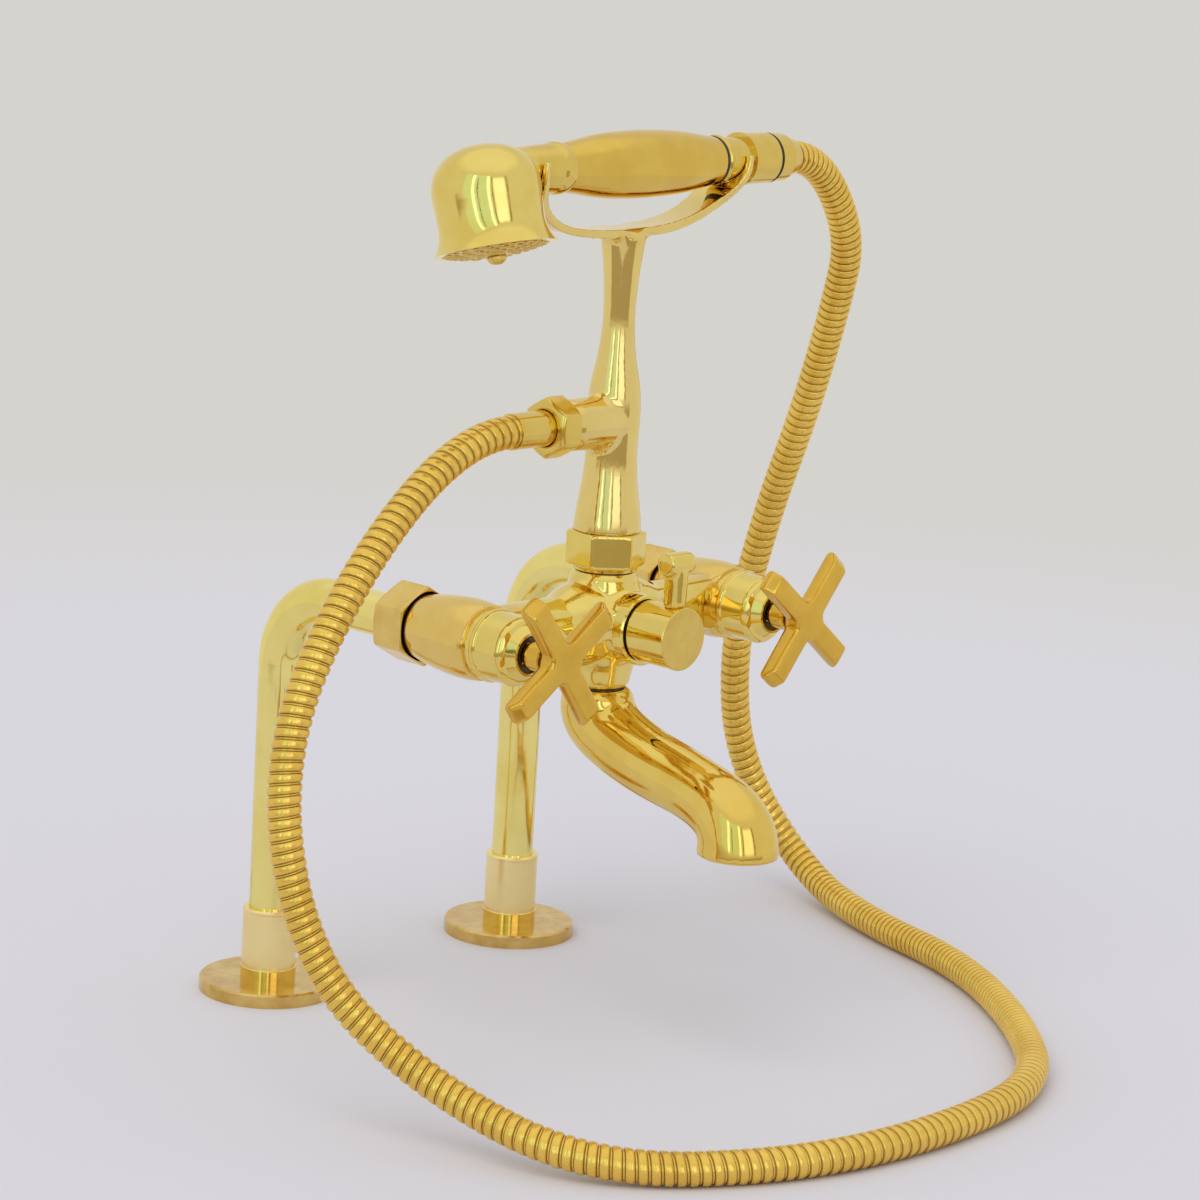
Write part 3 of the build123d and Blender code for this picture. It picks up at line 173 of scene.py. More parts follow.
# Metals: the light colour, or the name of the setting that holds it; the deep colour of the patches; the roughness
# where smooth and where dull; and the scales of patches, smudges and waves where they aren't the usual ones
PATCH_SCALE = 45.0
SMUDGE_SCALE = 240.0
WAVE_SCALE = 70.0
METALS = {
    "polished": {"colour": "polished_colour", "deep": (0.86, 0.65, 0.17), "rough": (0.045, 0.11), "patch": 40.0},
    "column": {"colour": "column_colour", "deep": (0.85, 0.64, 0.21), "rough": (0.05, 0.12)},
    "bell": {"colour": (0.90, 0.72, 0.21), "deep": (0.85, 0.63, 0.15), "rough": (0.06, 0.13), "patch": 55.0},
    "tail": {"colour": (0.84, 0.62, 0.16), "deep": (0.78, 0.55, 0.12), "rough": (0.09, 0.18), "patch": 60.0},
    "spout": {"colour": (0.89, 0.66, 0.17), "deep": (0.84, 0.58, 0.12), "rough": (0.04, 0.10)},
    "barrel": {"colour": "nut_colour", "deep": (0.84, 0.58, 0.15), "rough": (0.08, 0.17), "patch": 60.0},
    "satin": {"colour": "satin_colour", "deep": (0.76, 0.46, 0.065), "rough": (0.12, 0.21), "patch": 75.0},
    "flat": {"colour": (0.82, 0.60, 0.16), "deep": (0.76, 0.53, 0.13), "rough": (0.26, 0.38), "patch": 120.0},
    "tube": {"colour": "tube_colour", "deep": (0.92, 0.74, 0.20), "rough": (0.06, 0.14), "patch": 35.0},
    # Dark colour of the leg tubes' long streaks: painted reflection of dark things
    "tube_painted_reflection": {"colour": (0.44, 0.35, 0.09), "deep": (0.58, 0.42, 0.08), "rough": (0.08, 0.16)},
    "nut": {"colour": "nut_colour", "deep": (0.78, 0.52, 0.14), "rough": (0.13, 0.24), "patch": 80.0},
    "collar": {"colour": "collar_colour", "deep": (0.96, 0.73, 0.31), "rough": (0.22, 0.26), "patch": 40.0,
               "smudge": 90.0},
    "shank": {"colour": "polished_colour", "deep": (0.86, 0.65, 0.17), "rough": (0.08, 0.16), "patch": 40.0},
    "foot": {"colour": (0.80, 0.56, 0.19), "deep": (0.64, 0.40, 0.11), "rough": (0.10, 0.20), "patch": 110.0},
    "grip": {"colour": "grip_colour", "deep": (0.76, 0.50, 0.09), "rough": (0.09, 0.18), "patch": 50.0},
    # Dark brown inside the union nuts' mouths: tarnish and painted shade
    "tarnish_and_shade": {"colour": (0.10, 0.05, 0.015), "deep": (0.05, 0.025, 0.01), "rough": (0.4, 0.6)},
    "strip": {"colour": "hose_colour", "deep": (0.86, 0.55, 0.10), "rough": (0.2, 0.34), "patch": 30.0,
              "smudge": 600.0, "waves": 900.0},
    # Dark brown for the hose's grooves: painted shade
    "strip_groove_shade": {"colour": (0.24, 0.12, 0.02), "deep": (0.14, 0.06, 0.01), "rough": (0.4, 0.6)},
}
HOSE_WAVE = 0.00006

# Where one metal takes over from another: direction, where it starts and where it is whole, and the metal
BARREL_ZONE = {"along": (1.0, 0.0, 0.0), "start": 0.048, "end": 0.062, "metal": "barrel"}
# The barrels' ends inside the union nuts' mouths turn dark brown: tarnish and painted shade of the recess
NUT_MOUTH_TARNISH_AND_SHADE = {"along": (0.0, 1.0, 0.0), "start": 0.0915, "end": 0.0895, "metal": "tarnish_and_shade"}
NECK_ZONE = {"along": (1.0, 0.0, 0.0), "start": 0.0635, "end": 0.0600, "metal": "tail"}
KNOB_ZONE = {"along": (0.0, 1.0, 0.0), "start": 0.16475, "end": 0.16485, "metal": "flat"}
COLLAR_ZONE = {"along": (0.0, 0.0, 1.0), "start": 0.0108, "end": 0.0114, "metal": "collar"}
UPRIGHT = {"along": (0.0, 0.0, 1.0), "start": 0.150, "end": 0.130}

# Relief and painted reflections: fine lines, turned rings about an axis, and long dark streaks of painted reflection
# where the noise is highest
NUT_LINES = {"scale": (700.0, 40.0, 700.0), "depth": 0.000001}
FOOT_RINGS = {"centre": (0.075, 0.0, 0.0), "plane": (1.0, 1.0, 0.0), "scale": 900.0, "depth": 0.000002}
TURNED_RINGS = {"centre": (0.075, -0.1, 0.18), "plane": (1.0, 0.0, 1.0), "scale": 1500.0, "depth": 0.00001}
TUBE_REFLECTION_STREAKS = {"scale": (190.0, 190.0, 7.0), "start": 0.58, "end": 0.66, "within": UPRIGHT, "metal": "tube_painted_reflection"}


def both(name):
    return [f"{name}_left", f"{name}_right"]


# Each metal finish: its name, its metal, what it has besides, and the pieces that wear it
METAL_FINISHES = [
    ("body_brass", "polished", {"wave": 0.00012, "zones": [BARREL_ZONE, NUT_MOUTH_TARNISH_AND_SHADE]}, ["mixer_body"]),
    ("polished_brass", "polished", {"wave": 0.0001},
     ["riser_ring", "riser_nut", "cone_ferrule", *both("bonnet"), "diverter_collar", "diverter_lever"]),
    ("spout_brass", "spout", {"wave": 0.00012}, ["spout"]),
    ("tail_brass", "tail", {"wave": 0.00004},
     ["handset_tail", "branch_nut", "branch_ferrule", "grip_collar", "cone_nut", *both("spindle")]),
    ("column_brass", "column", {"wave": 0.0001}, ["riser"]),
    ("bell_brass", "bell", {"wave": 0.00005, "zones": [NECK_ZONE]}, ["handset_head"]),
    ("grip_brass", "grip", {"wave": 0.00005}, ["grip"]),
    ("knob_brass", "polished", {"wave": 0.00005, "zones": [KNOB_ZONE]}, ["diverter_knob"]),
    # The leg tubes carry long dark streaks of painted reflection
    ("tube_brass", "tube", {"wave": 0.00008, "reflection_streak": TUBE_REFLECTION_STREAKS}, both("leg_tube")),
    ("nut_brass", "nut", {"wave": 0.00003, "lines": NUT_LINES}, both("union_nut")),
    ("collar_brass", "shank", {"zones": [COLLAR_ZONE]}, both("foot_shank")),
    ("flange_brass", "foot", {"rings": FOOT_RINGS}, both("foot_flange")),
    ("handle_brass", "satin", {"wave": 0.00007}, both("handle")),
    ("spray_brass", "flat", {"wave": 0.00003}, ["spray_plate", "plate_screw", "spray_nozzles"]),
    ("machined_brass", "nut", {"rings": TURNED_RINGS},
     ["riser_tail", "tube_ferrules", "diverter_rotor", "back_nuts", "back_washers", *both("cartridge")]),
]

# Each plain finish: its name, its colour, the deep colour of its mottling, its roughness where smooth and where dull,
# how metallic it is, and the pieces that wear it
PLAIN_FINISHES = [
    ("dark_ring", (0.05, 0.035, 0.02), (0.02, 0.015, 0.01), (0.4, 0.6), 0.0, ["grip_ring"]),
    # Brown on the bonnet seals: painted shade and painted reflection of the dark gap round the spindle
    ("seal_painted_shade", (0.10, 0.06, 0.02), (0.04, 0.025, 0.01), (0.2, 0.35), 0.0, ["bonnet_seals"]),
    ("black_rubber", (0.02, 0.02, 0.02), (0.035, 0.033, 0.03), (0.5, 0.75), 0.0,
     ["deck_gaskets", "seat_seals", "diverter_seal", "riser_seal", "cone_ring", "head_seal", "riser_washer",
      "branch_washer", "cone_washer", "union_washers", "spout_washer"]),
    ("white_ceramic", (0.85, 0.85, 0.83), (0.8, 0.8, 0.78), (0.1, 0.18), 0.0, ["fixed_discs", *both("moving_disc")]),
    ("white_plastic", (0.8, 0.8, 0.78), (0.74, 0.74, 0.72), (0.35, 0.5), 0.0, ["water_tube"]),
    ("screw_steel", (0.5, 0.5, 0.51), (0.4, 0.4, 0.41), (0.25, 0.4), 1.0, both("handle_screw")),
]
PLAIN_PATCHES = 300.0
PLAIN_WAVES = 2500.0
PLAIN_WAVE = 0.00002

# Filled by the steps: the new pieces by the node that they stand for, and the node groups by their name
PIECES = {}
GROUPS = {}


class MixerLook(bpy.types.PropertyGroup):
    """Sizes and colours of the mixer's finishes."""

    hose_diameter: FloatProperty(name="Hose diameter", description="Outer diameter over the hose's ribs",
                                 default=0.014, min=0.008, max=0.02, unit="LENGTH")
    rib_pitch: FloatProperty(name="Rib pitch", description="Distance from one rib of the hose to the next",
                             default=0.0048, min=0.002, max=0.01, unit="LENGTH")
    rib_depth: FloatProperty(name="Rib depth", description="Depth of the grooves between the ribs",
                             default=0.0011, min=0.0002, max=0.002, unit="LENGTH")
    rib_sides: IntProperty(name="Hose sides", description="Points round the hose", default=26, min=12, max=64)
    cast_detail: FloatProperty(name="Casting detail", description="Mesh size of the castings with soft inner corners",
                               default=0.0006, min=0.0003, max=0.002, unit="LENGTH")
    polished_colour: FloatVectorProperty(name="Polished brass", description="Colour of the polished castings",
                                         default=(0.90, 0.72, 0.21), min=0.0, max=1.0, subtype="COLOR")
    column_colour: FloatVectorProperty(name="Column brass", description="Colour of the riser's polished column",
                                       default=(0.89, 0.70, 0.25), min=0.0, max=1.0, subtype="COLOR")
    grip_colour: FloatVectorProperty(name="Grip brass", description="Colour of the handset's grip",
                                     default=(0.82, 0.57, 0.115), min=0.0, max=1.0, subtype="COLOR")
    satin_colour: FloatVectorProperty(name="Satin brass", description="Colour of the cross handles",
                                      default=(0.82, 0.52, 0.085), min=0.0, max=1.0, subtype="COLOR")
    nut_colour: FloatVectorProperty(name="Nut brass", description="Colour of the union nuts and barrels",
                                    default=(0.88, 0.64, 0.20), min=0.0, max=1.0, subtype="COLOR")
    tube_colour: FloatVectorProperty(name="Tube brass", description="Colour of the drawn leg tubes",
                                     default=(0.98, 0.855, 0.31), min=0.0, max=1.0, subtype="COLOR")
    collar_colour: FloatVectorProperty(name="Collar brass", description="Colour of the satin collars on the legs",
                                       default=(1.0, 0.82, 0.39), min=0.0, max=1.0, subtype="COLOR")
    hose_colour: FloatVectorProperty(name="Hose brass", description="Colour of the hose's wound strip",
                                     default=(0.98, 0.67, 0.14), min=0.0, max=1.0, subtype="COLOR")
    floor_colour: FloatVectorProperty(name="Deck", description="Colour of the pale deck",
                                      default=(0.745, 0.73, 0.785), min=0.0, max=1.0, subtype="COLOR")
    far_floor_colour: FloatVectorProperty(name="Far floor", description="Colour of the floor far behind the mixer",
                                          default=(0.715, 0.695, 0.655), min=0.0, max=1.0, subtype="COLOR")
    backdrop_colour: FloatVectorProperty(name="Backdrop", description="Colour behind the mixer",
                                         default=(0.67, 0.65, 0.62), min=0.0, max=1.0, subtype="COLOR")
    fill_light: FloatProperty(name="Fill light", description="Strength of the even light from all sides",
                              default=0.70, min=0.0, max=2.0)
    side_light: FloatProperty(name="Side light", description="Strength of the wide light from one side",
                              default=0.97, min=0.0, max=5.0)


def look():
    return bpy.context.scene.bath_mixer


def link(obj):
    bpy.context.scene.collection.objects.link(obj)
    return obj


# Node groups shared by the finishes
def new_group(name, inputs, outputs):
    group = bpy.data.node_groups.new(name, "ShaderNodeTree")
    for kind, label, default in inputs:
        socket = group.interface.new_socket(label, in_out="INPUT", socket_type=kind)
        socket.default_value = default
    for kind, label in outputs:
        group.interface.new_socket(label, in_out="OUTPUT", socket_type=kind)
    return group, group.nodes.new("NodeGroupInput"), group.nodes.new("NodeGroupOutput")


def add(tree, kind, settings=None, values=None):
    node = tree.nodes.new(kind)
    for key, value in (settings or {}).items():
        setattr(node, key, value)
    for key, value in (values or {}).items():
        node.inputs[key].default_value = value
    return node


def patina_group():
    """Slow colour patches, finer smudges in the roughness, and a gently uneven surface from hand polishing."""
    group, given, result = new_group("Patina", [
        ("NodeSocketColor", "Colour", (0.9, 0.7, 0.3, 1.0)),
        ("NodeSocketColor", "Deep Colour", (0.7, 0.5, 0.2, 1.0)),
        ("NodeSocketFloat", "Patch Scale", 60.0),
        ("NodeSocketFloat", "Smudge Scale", 260.0),
        ("NodeSocketFloat", "Smooth Roughness", 0.06),
        ("NodeSocketFloat", "Dull Roughness", 0.16),
        ("NodeSocketFloat", "Wave Scale", 90.0),
    ], [("NodeSocketColor", "Colour"), ("NodeSocketFloat", "Roughness"), ("NodeSocketFloat", "Height")])
    place = add(group, "ShaderNodeTexCoord")
    patches = add(group, "ShaderNodeTexNoise", values={"Detail": 4.0, "Roughness": 0.6})
    smudges = add(group, "ShaderNodeTexNoise", values={"Detail": 3.0, "Roughness": 0.55})
    waves = add(group, "ShaderNodeTexNoise", values={"Detail": 1.0, "Roughness": 0.4})
    for noise, label in ((patches, "Patch Scale"), (smudges, "Smudge Scale"), (waves, "Wave Scale")):
        group.links.new(place.outputs["Object"], noise.inputs["Vector"])
        group.links.new(given.outputs[label], noise.inputs["Scale"])
    spread = add(group, "ShaderNodeMapRange", values={"From Min": 0.35, "From Max": 0.68})
    group.links.new(patches.outputs["Fac"], spread.inputs["Value"])
    mix = add(group, "ShaderNodeMix", {"data_type": "RGBA"})
    group.links.new(spread.outputs["Result"], mix.inputs["Factor"])
    group.links.new(given.outputs["Colour"], mix.inputs["A"])
    group.links.new(given.outputs["Deep Colour"], mix.inputs["B"])
    rough = add(group, "ShaderNodeMapRange", values={"From Min": 0.38, "From Max": 0.7})
    group.links.new(smudges.outputs["Fac"], rough.inputs["Value"])
    group.links.new(given.outputs["Smooth Roughness"], rough.inputs["To Min"])
    group.links.new(given.outputs["Dull Roughness"], rough.inputs["To Max"])
    group.links.new(mix.outputs["Result"], result.inputs["Colour"])
    group.links.new(rough.outputs["Result"], result.inputs["Roughness"])
    group.links.new(waves.outputs["Fac"], result.inputs["Height"])
    return group


def grain_group():
    """Fine brushed lines: noise stretched by its own scale along each axis."""
    group, given, result = new_group("Brushed Grain", [
        ("NodeSocketVector", "Line Scale", (40.0, 2400.0, 2400.0)),
    ], [("NodeSocketFloat", "Height"), ("NodeSocketFloat", "Streak")])
    place = add(group, "ShaderNodeTexCoord")
    stretch = add(group, "ShaderNodeVectorMath", {"operation": "MULTIPLY"})
    lines = add(group, "ShaderNodeTexNoise", values={"Scale": 1.0, "Detail": 5.0, "Roughness": 0.7})
    group.links.new(place.outputs["Object"], stretch.inputs[0])
    group.links.new(given.outputs["Line Scale"], stretch.inputs[1])
    group.links.new(stretch.outputs["Vector"], lines.inputs["Vector"])
    group.links.new(lines.outputs["Fac"], result.inputs["Height"])
    group.links.new(lines.outputs["Fac"], result.inputs["Streak"])
    return group


def rings_group():
    """Fine turned rings about an axis through a point, mirrored left and right."""
    group, given, result = new_group("Turned Rings", [
        ("NodeSocketVector", "Centre", (0.075, 0.0, 0.0)),
        ("NodeSocketVector", "Plane", (1.0, 1.0, 0.0)),
        ("NodeSocketFloat", "Ring Scale", 2500.0),
    ], [("NodeSocketFloat", "Height")])
    place = add(group, "ShaderNodeTexCoord")
    split = add(group, "ShaderNodeSeparateXYZ")
    fold = add(group, "ShaderNodeMath", {"operation": "ABSOLUTE"})
    join = add(group, "ShaderNodeCombineXYZ")
    shift = add(group, "ShaderNodeVectorMath", {"operation": "SUBTRACT"})
    flatten = add(group, "ShaderNodeVectorMath", {"operation": "MULTIPLY"})
    reach = add(group, "ShaderNodeVectorMath", {"operation": "LENGTH"})
    rings = add(group, "ShaderNodeTexNoise", {"noise_dimensions": "1D"}, {"Detail": 4.0, "Roughness": 0.7})
    group.links.new(place.outputs["Object"], split.inputs["Vector"])
    group.links.new(split.outputs["X"], fold.inputs[0])
    group.links.new(fold.outputs["Value"], join.inputs["X"])
    group.links.new(split.outputs["Y"], join.inputs["Y"])
    group.links.new(split.outputs["Z"], join.inputs["Z"])
    group.links.new(join.outputs["Vector"], shift.inputs[0])
    group.links.new(given.outputs["Centre"], shift.inputs[1])
    group.links.new(shift.outputs["Vector"], flatten.inputs[0])
    group.links.new(given.outputs["Plane"], flatten.inputs[1])
    group.links.new(flatten.outputs["Vector"], reach.inputs[0])
    group.links.new(reach.outputs["Value"], rings.inputs["W"])
    group.links.new(given.outputs["Ring Scale"], rings.inputs["Scale"])
    group.links.new(rings.outputs["Fac"], result.inputs["Height"])
    return group


def zone_group():
    """A mask that grows from one distance to another along a direction, the same on the left and the right."""
    group, given, result = new_group("Zone", [
        ("NodeSocketVector", "Direction", (1.0, 0.0, 0.0)),
        ("NodeSocketFloat", "Start", 0.05),
        ("NodeSocketFloat", "End", 0.06),
    ], [("NodeSocketFloat", "Mask")])
    place = add(group, "ShaderNodeTexCoord")
    fold = add(group, "ShaderNodeVectorMath", {"operation": "ABSOLUTE"})
    along = add(group, "ShaderNodeVectorMath", {"operation": "DOT_PRODUCT"})
    growth = add(group, "ShaderNodeMapRange", {"interpolation_type": "SMOOTHSTEP"})
    group.links.new(place.outputs["Object"], fold.inputs[0])
    group.links.new(fold.outputs["Vector"], along.inputs[0])
    group.links.new(given.outputs["Direction"], along.inputs[1])
    group.links.new(along.outputs["Value"], growth.inputs["Value"])
    group.links.new(given.outputs["Start"], growth.inputs["From Min"])
    group.links.new(given.outputs["End"], growth.inputs["From Max"])
    group.links.new(growth.outputs["Result"], result.inputs["Mask"])
    return group


def shared(name):
    makers = {"Patina": patina_group, "Brushed Grain": grain_group, "Turned Rings": rings_group, "Zone": zone_group}
    if name not in GROUPS:
        GROUPS[name] = makers[name]()
    return GROUPS[name]


def place_group(tree, name, values):
    return add(tree, "ShaderNodeGroup", {"node_tree": shared(name)}, values)


def rgba(colour):
    return (*colour, 1.0)


def metal(tree, name):
    """The patina of one of the metals, with its colour from the settings where they hold it."""
    style = dict(METALS[name])
    if isinstance(style["colour"], str):
        style["colour"] = getattr(look(), style["colour"])
    return patina(tree, style)


def patina(tree, style):
    return place_group(tree, "Patina", {
        "Colour": rgba(style["colour"]), "Deep Colour": rgba(style["deep"]),
        "Patch Scale": style.get("patch", PATCH_SCALE), "Smudge Scale": style.get("smudge", SMUDGE_SCALE),
        "Smooth Roughness": style["rough"][0], "Dull Roughness": style["rough"][1],
        "Wave Scale": style.get("waves", WAVE_SCALE),
    })


# Numbers of a Mix node's two inputs and its output, for values and for colours
MIX_SOCKETS = {"FLOAT": (2, 3, 0), "RGBA": (6, 7, 2)}
COLOUR_A, COLOUR_B, COLOUR_OUT = MIX_SOCKETS["RGBA"]


def mixed(tree, mask, first, second, kind):
    """One value or colour of two, by a mask."""
    mix = add(tree, "ShaderNodeMix", {"data_type": kind})
    tree.links.new(mask, mix.inputs["Factor"])
    into_a, into_b, out = MIX_SOCKETS[kind]
    tree.links.new(first, mix.inputs[into_a])
    tree.links.new(second, mix.inputs[into_b])
    return mix.outputs[out]


def bare_material(name, metallic):
    """A new material, with its node tree and its Principled BSDF."""
    material = bpy.data.materials.new(name)
    material.use_nodes = True
    shader = material.node_tree.nodes["Principled BSDF"]
    shader.inputs["Metallic"].default_value = metallic
    return material, material.node_tree, shader


def relief(tree, shader, heights):
    """Bumps of the given depths, one on top of the other."""
    normal = None
    for height, depth in heights:
        bump = add(tree, "ShaderNodeBump", values={"Strength": 1.0, "Distance": depth})
        tree.links.new(height, bump.inputs["Height"])
        if normal:
            tree.links.new(normal, bump.inputs["Normal"])
        normal = bump.outputs["Normal"]
    if normal:
        tree.links.new(normal, shader.inputs["Normal"])


def zone_mask(tree, zone):
    group = place_group(tree, "Zone", {"Direction": zone["along"], "Start": zone["start"], "End": zone["end"]})
    return group.outputs["Mask"]


# Long dark streaks of painted reflection on the leg tubes
def reflection_streak_mask(tree, reflection_streak):
    lines = place_group(tree, "Brushed Grain", {"Line Scale": reflection_streak["scale"]})
    dark = ramp(tree, lines.outputs["Streak"], reflection_streak["start"], reflection_streak["end"])
    return math_node(tree, "MULTIPLY", dark, zone_mask(tree, reflection_streak["within"]))


def brass_finish(name, first, wave=0.0, zones=(), reflection_streak=None, lines=None, rings=None):
    """A metal, with others that take over in zones or in long dark streaks of painted reflection, and wavy, brushed or
    turned relief.
    """
    material, tree, shader = bare_material(name, 1.0)
    base = metal(tree, first)
    colour = base.outputs["Colour"]
    rough = base.outputs["Roughness"]
    takers = [(zone_mask(tree, zone), zone["metal"]) for zone in zones]
    if reflection_streak:
        takers.append((reflection_streak_mask(tree, reflection_streak), reflection_streak["metal"]))
    for mask, taker in takers:
        other = metal(tree, taker)
        colour = mixed(tree, mask, colour, other.outputs["Colour"], "RGBA")
        rough = mixed(tree, mask, rough, other.outputs["Roughness"], "FLOAT")
    tree.links.new(colour, shader.inputs["Base Color"])
    tree.links.new(rough, shader.inputs["Roughness"])
    heights = []
    if wave:
        heights.append((base.outputs["Height"], wave))
    if lines:
        brushed = place_group(tree, "Brushed Grain", {"Line Scale": lines["scale"]})
        heights.append((brushed.outputs["Height"], lines["depth"]))
    if rings:
        turned = place_group(tree, "Turned Rings", {
            "Centre": rings["centre"], "Plane": rings["plane"], "Ring Scale": rings["scale"]})
        heights.append((turned.outputs["Height"], rings["depth"]))
    relief(tree, shader, heights)
    return material


def plain_finish(name, colour, deep, rough, metallic):
    """Rubber, ceramic, plastic and other plain stuff, with faint mottling and a fine moulded surface."""
    material, tree, shader = bare_material(name, metallic)
    base = patina(tree, {"colour": colour, "deep": deep, "rough": rough, "patch": PLAIN_PATCHES, "waves": PLAIN_WAVES})
    tree.links.new(base.outputs["Colour"], shader.inputs["Base Color"])
    tree.links.new(base.outputs["Roughness"], shader.inputs["Roughness"])
    relief(tree, shader, [(base.outputs["Height"], PLAIN_WAVE)])
    return material


def hose_finish():
    """Bright wound strip with painted shade in its grooves, set by the mesh's own groove shade values."""
    material, tree, shader = bare_material("hose_strip", 1.0)
    base = metal(tree, "strip")
    dark = metal(tree, "strip_groove_shade")
    # The mesh's groove values paint shade into the grooves
    groove_shade = add(tree, "ShaderNodeAttribute", {"attribute_name": "groove_shade"})
    colour = mixed(tree, groove_shade.outputs["Fac"], base.outputs["Colour"], dark.outputs["Colour"], "RGBA")
    rough = mixed(tree, groove_shade.outputs["Fac"], base.outputs["Roughness"], dark.outputs["Roughness"], "FLOAT")
    tree.links.new(colour, shader.inputs["Base Color"])
    tree.links.new(rough, shader.inputs["Roughness"])
    relief(tree, shader, [(base.outputs["Height"], HOSE_WAVE)])
    return material


# Stage
def camera_axes():
    heading = Vector((math.sin(CAMERA_AZIMUTH), math.cos(CAMERA_AZIMUTH), 0.0))
    forward = heading * math.cos(CAMERA_PITCH) - Vector((0.0, 0.0, math.sin(CAMERA_PITCH)))
    right = Vector((math.cos(CAMERA_AZIMUTH), -math.sin(CAMERA_AZIMUTH), 0.0))
    up = right.cross(forward)
    rolled_right = right * math.cos(CAMERA_ROLL) + up * math.sin(CAMERA_ROLL)
    rolled_up = up * math.cos(CAMERA_ROLL) - right * math.sin(CAMERA_ROLL)
    return rolled_right, rolled_up, forward


def make_camera():
    right, up, forward = camera_axes()
    data = bpy.data.cameras.new("photo_camera")
    data.lens = LENS
    data.sensor_width = SENSOR
    data.sensor_fit = "HORIZONTAL"
    data.clip_end = 50.0
    camera = link(bpy.data.objects.new("photo_camera", data))
    aim = LOOK_AT + right * LOOK_SHIFT[0] + up * LOOK_SHIFT[1]
    spot = aim - forward * CAMERA_DISTANCE
    camera.matrix_world = Matrix((
        (right.x, up.x, -forward.x, spot.x),
        (right.y, up.y, -forward.y, spot.y),
        (right.z, up.z, -forward.z, spot.z),
        (0.0, 0.0, 0.0, 1.0),
    ))
    bpy.context.scene.camera = camera


def make_floor():
    """A pale deck round the mixer, and a floor far around it, which the brass doesn't mirror."""
    material, tree, shader = bare_material("deck_paint", 0.0)
    place = add(tree, "ShaderNodeTexCoord")
    reach = add(tree, "ShaderNodeVectorMath", {"operation": "LENGTH"})
    # The deck's paint is lighter near the mixer, painted light over the shade there, and turns warmer far off
    warm = add(tree, "ShaderNodeMix", {"data_type": "RGBA"})
    warm.inputs[COLOUR_A].default_value = rgba(look().floor_colour)
    warm.inputs[COLOUR_B].default_value = rgba(look().far_floor_colour)
    tree.links.new(place.outputs["Object"], reach.inputs[0])
    tree.links.new(ramp(tree, reach.outputs["Value"], *PAINT_CHANGE), warm.inputs["Factor"])
    tree.links.new(warm.outputs[COLOUR_OUT], shader.inputs["Base Color"])
    shader.inputs["Roughness"].default_value = DECK_ROUGHNESS
    shader.inputs["Specular IOR Level"].default_value = DECK_SHINE
    for name, half, height in (("deck_floor", NEAR_DECK, 0.0), ("far_floor", FAR_DECK, -FLOOR_DROP)):
        mesh = bmesh.new()
        bmesh.ops.create_grid(mesh, x_segments=FLOOR_CELLS, y_segments=FLOOR_CELLS, size=half)
        data = bpy.data.meshes.new(name)
        mesh.to_mesh(data)
        mesh.free()
        floor = link(bpy.data.objects.new(name, data))
        floor.location = (0.0, FLOOR_MIDDLE, height)
        floor.visible_glossy = half < FAR_DECK
        data.materials.append(material)


def make_lamp():
    """A wide soft light from one side, for the deck and everything dull; metal mirrors the room instead."""
    data = bpy.data.lights.new("side_light", "SUN")
    data.energy = look().side_light
    data.angle = LAMP_SPREAD
    data.color = LAMP_COLOUR
    lamp = link(bpy.data.objects.new("side_light", data))
    lamp.rotation_euler = LAMP_DIRECTION.to_track_quat("-Z", "Y").to_euler()
    lamp.visible_glossy = False


def math_node(tree, operation, first, second):
    node = add(tree, "ShaderNodeMath", {"operation": operation})
    tree.links.new(first, node.inputs[0])
    tree.links.new(second, node.inputs[1])
    return node.outputs["Value"]


def ramp(tree, value, low, high):
    """From 0 at low to 1 at high, smoothly."""
    node = add(tree, "ShaderNodeMapRange", {"interpolation_type": "SMOOTHSTEP"}, {"From Min": low, "From Max": high})
    tree.links.new(value, node.inputs["Value"])
    return node.outputs["Result"]


def band(tree, value, low, high, soft):
    rising = ramp(tree, value, low - soft, low + soft)
    falling = ramp(tree, value, high + soft, high - soft)
    return math_node(tree, "MULTIPLY", rising, falling)


def pane(tree, turn, height, region):
    left, right, low, high, soft = region
    return math_node(tree, "MULTIPLY", band(tree, turn, left, right, soft), band(tree, height, low, high, soft))


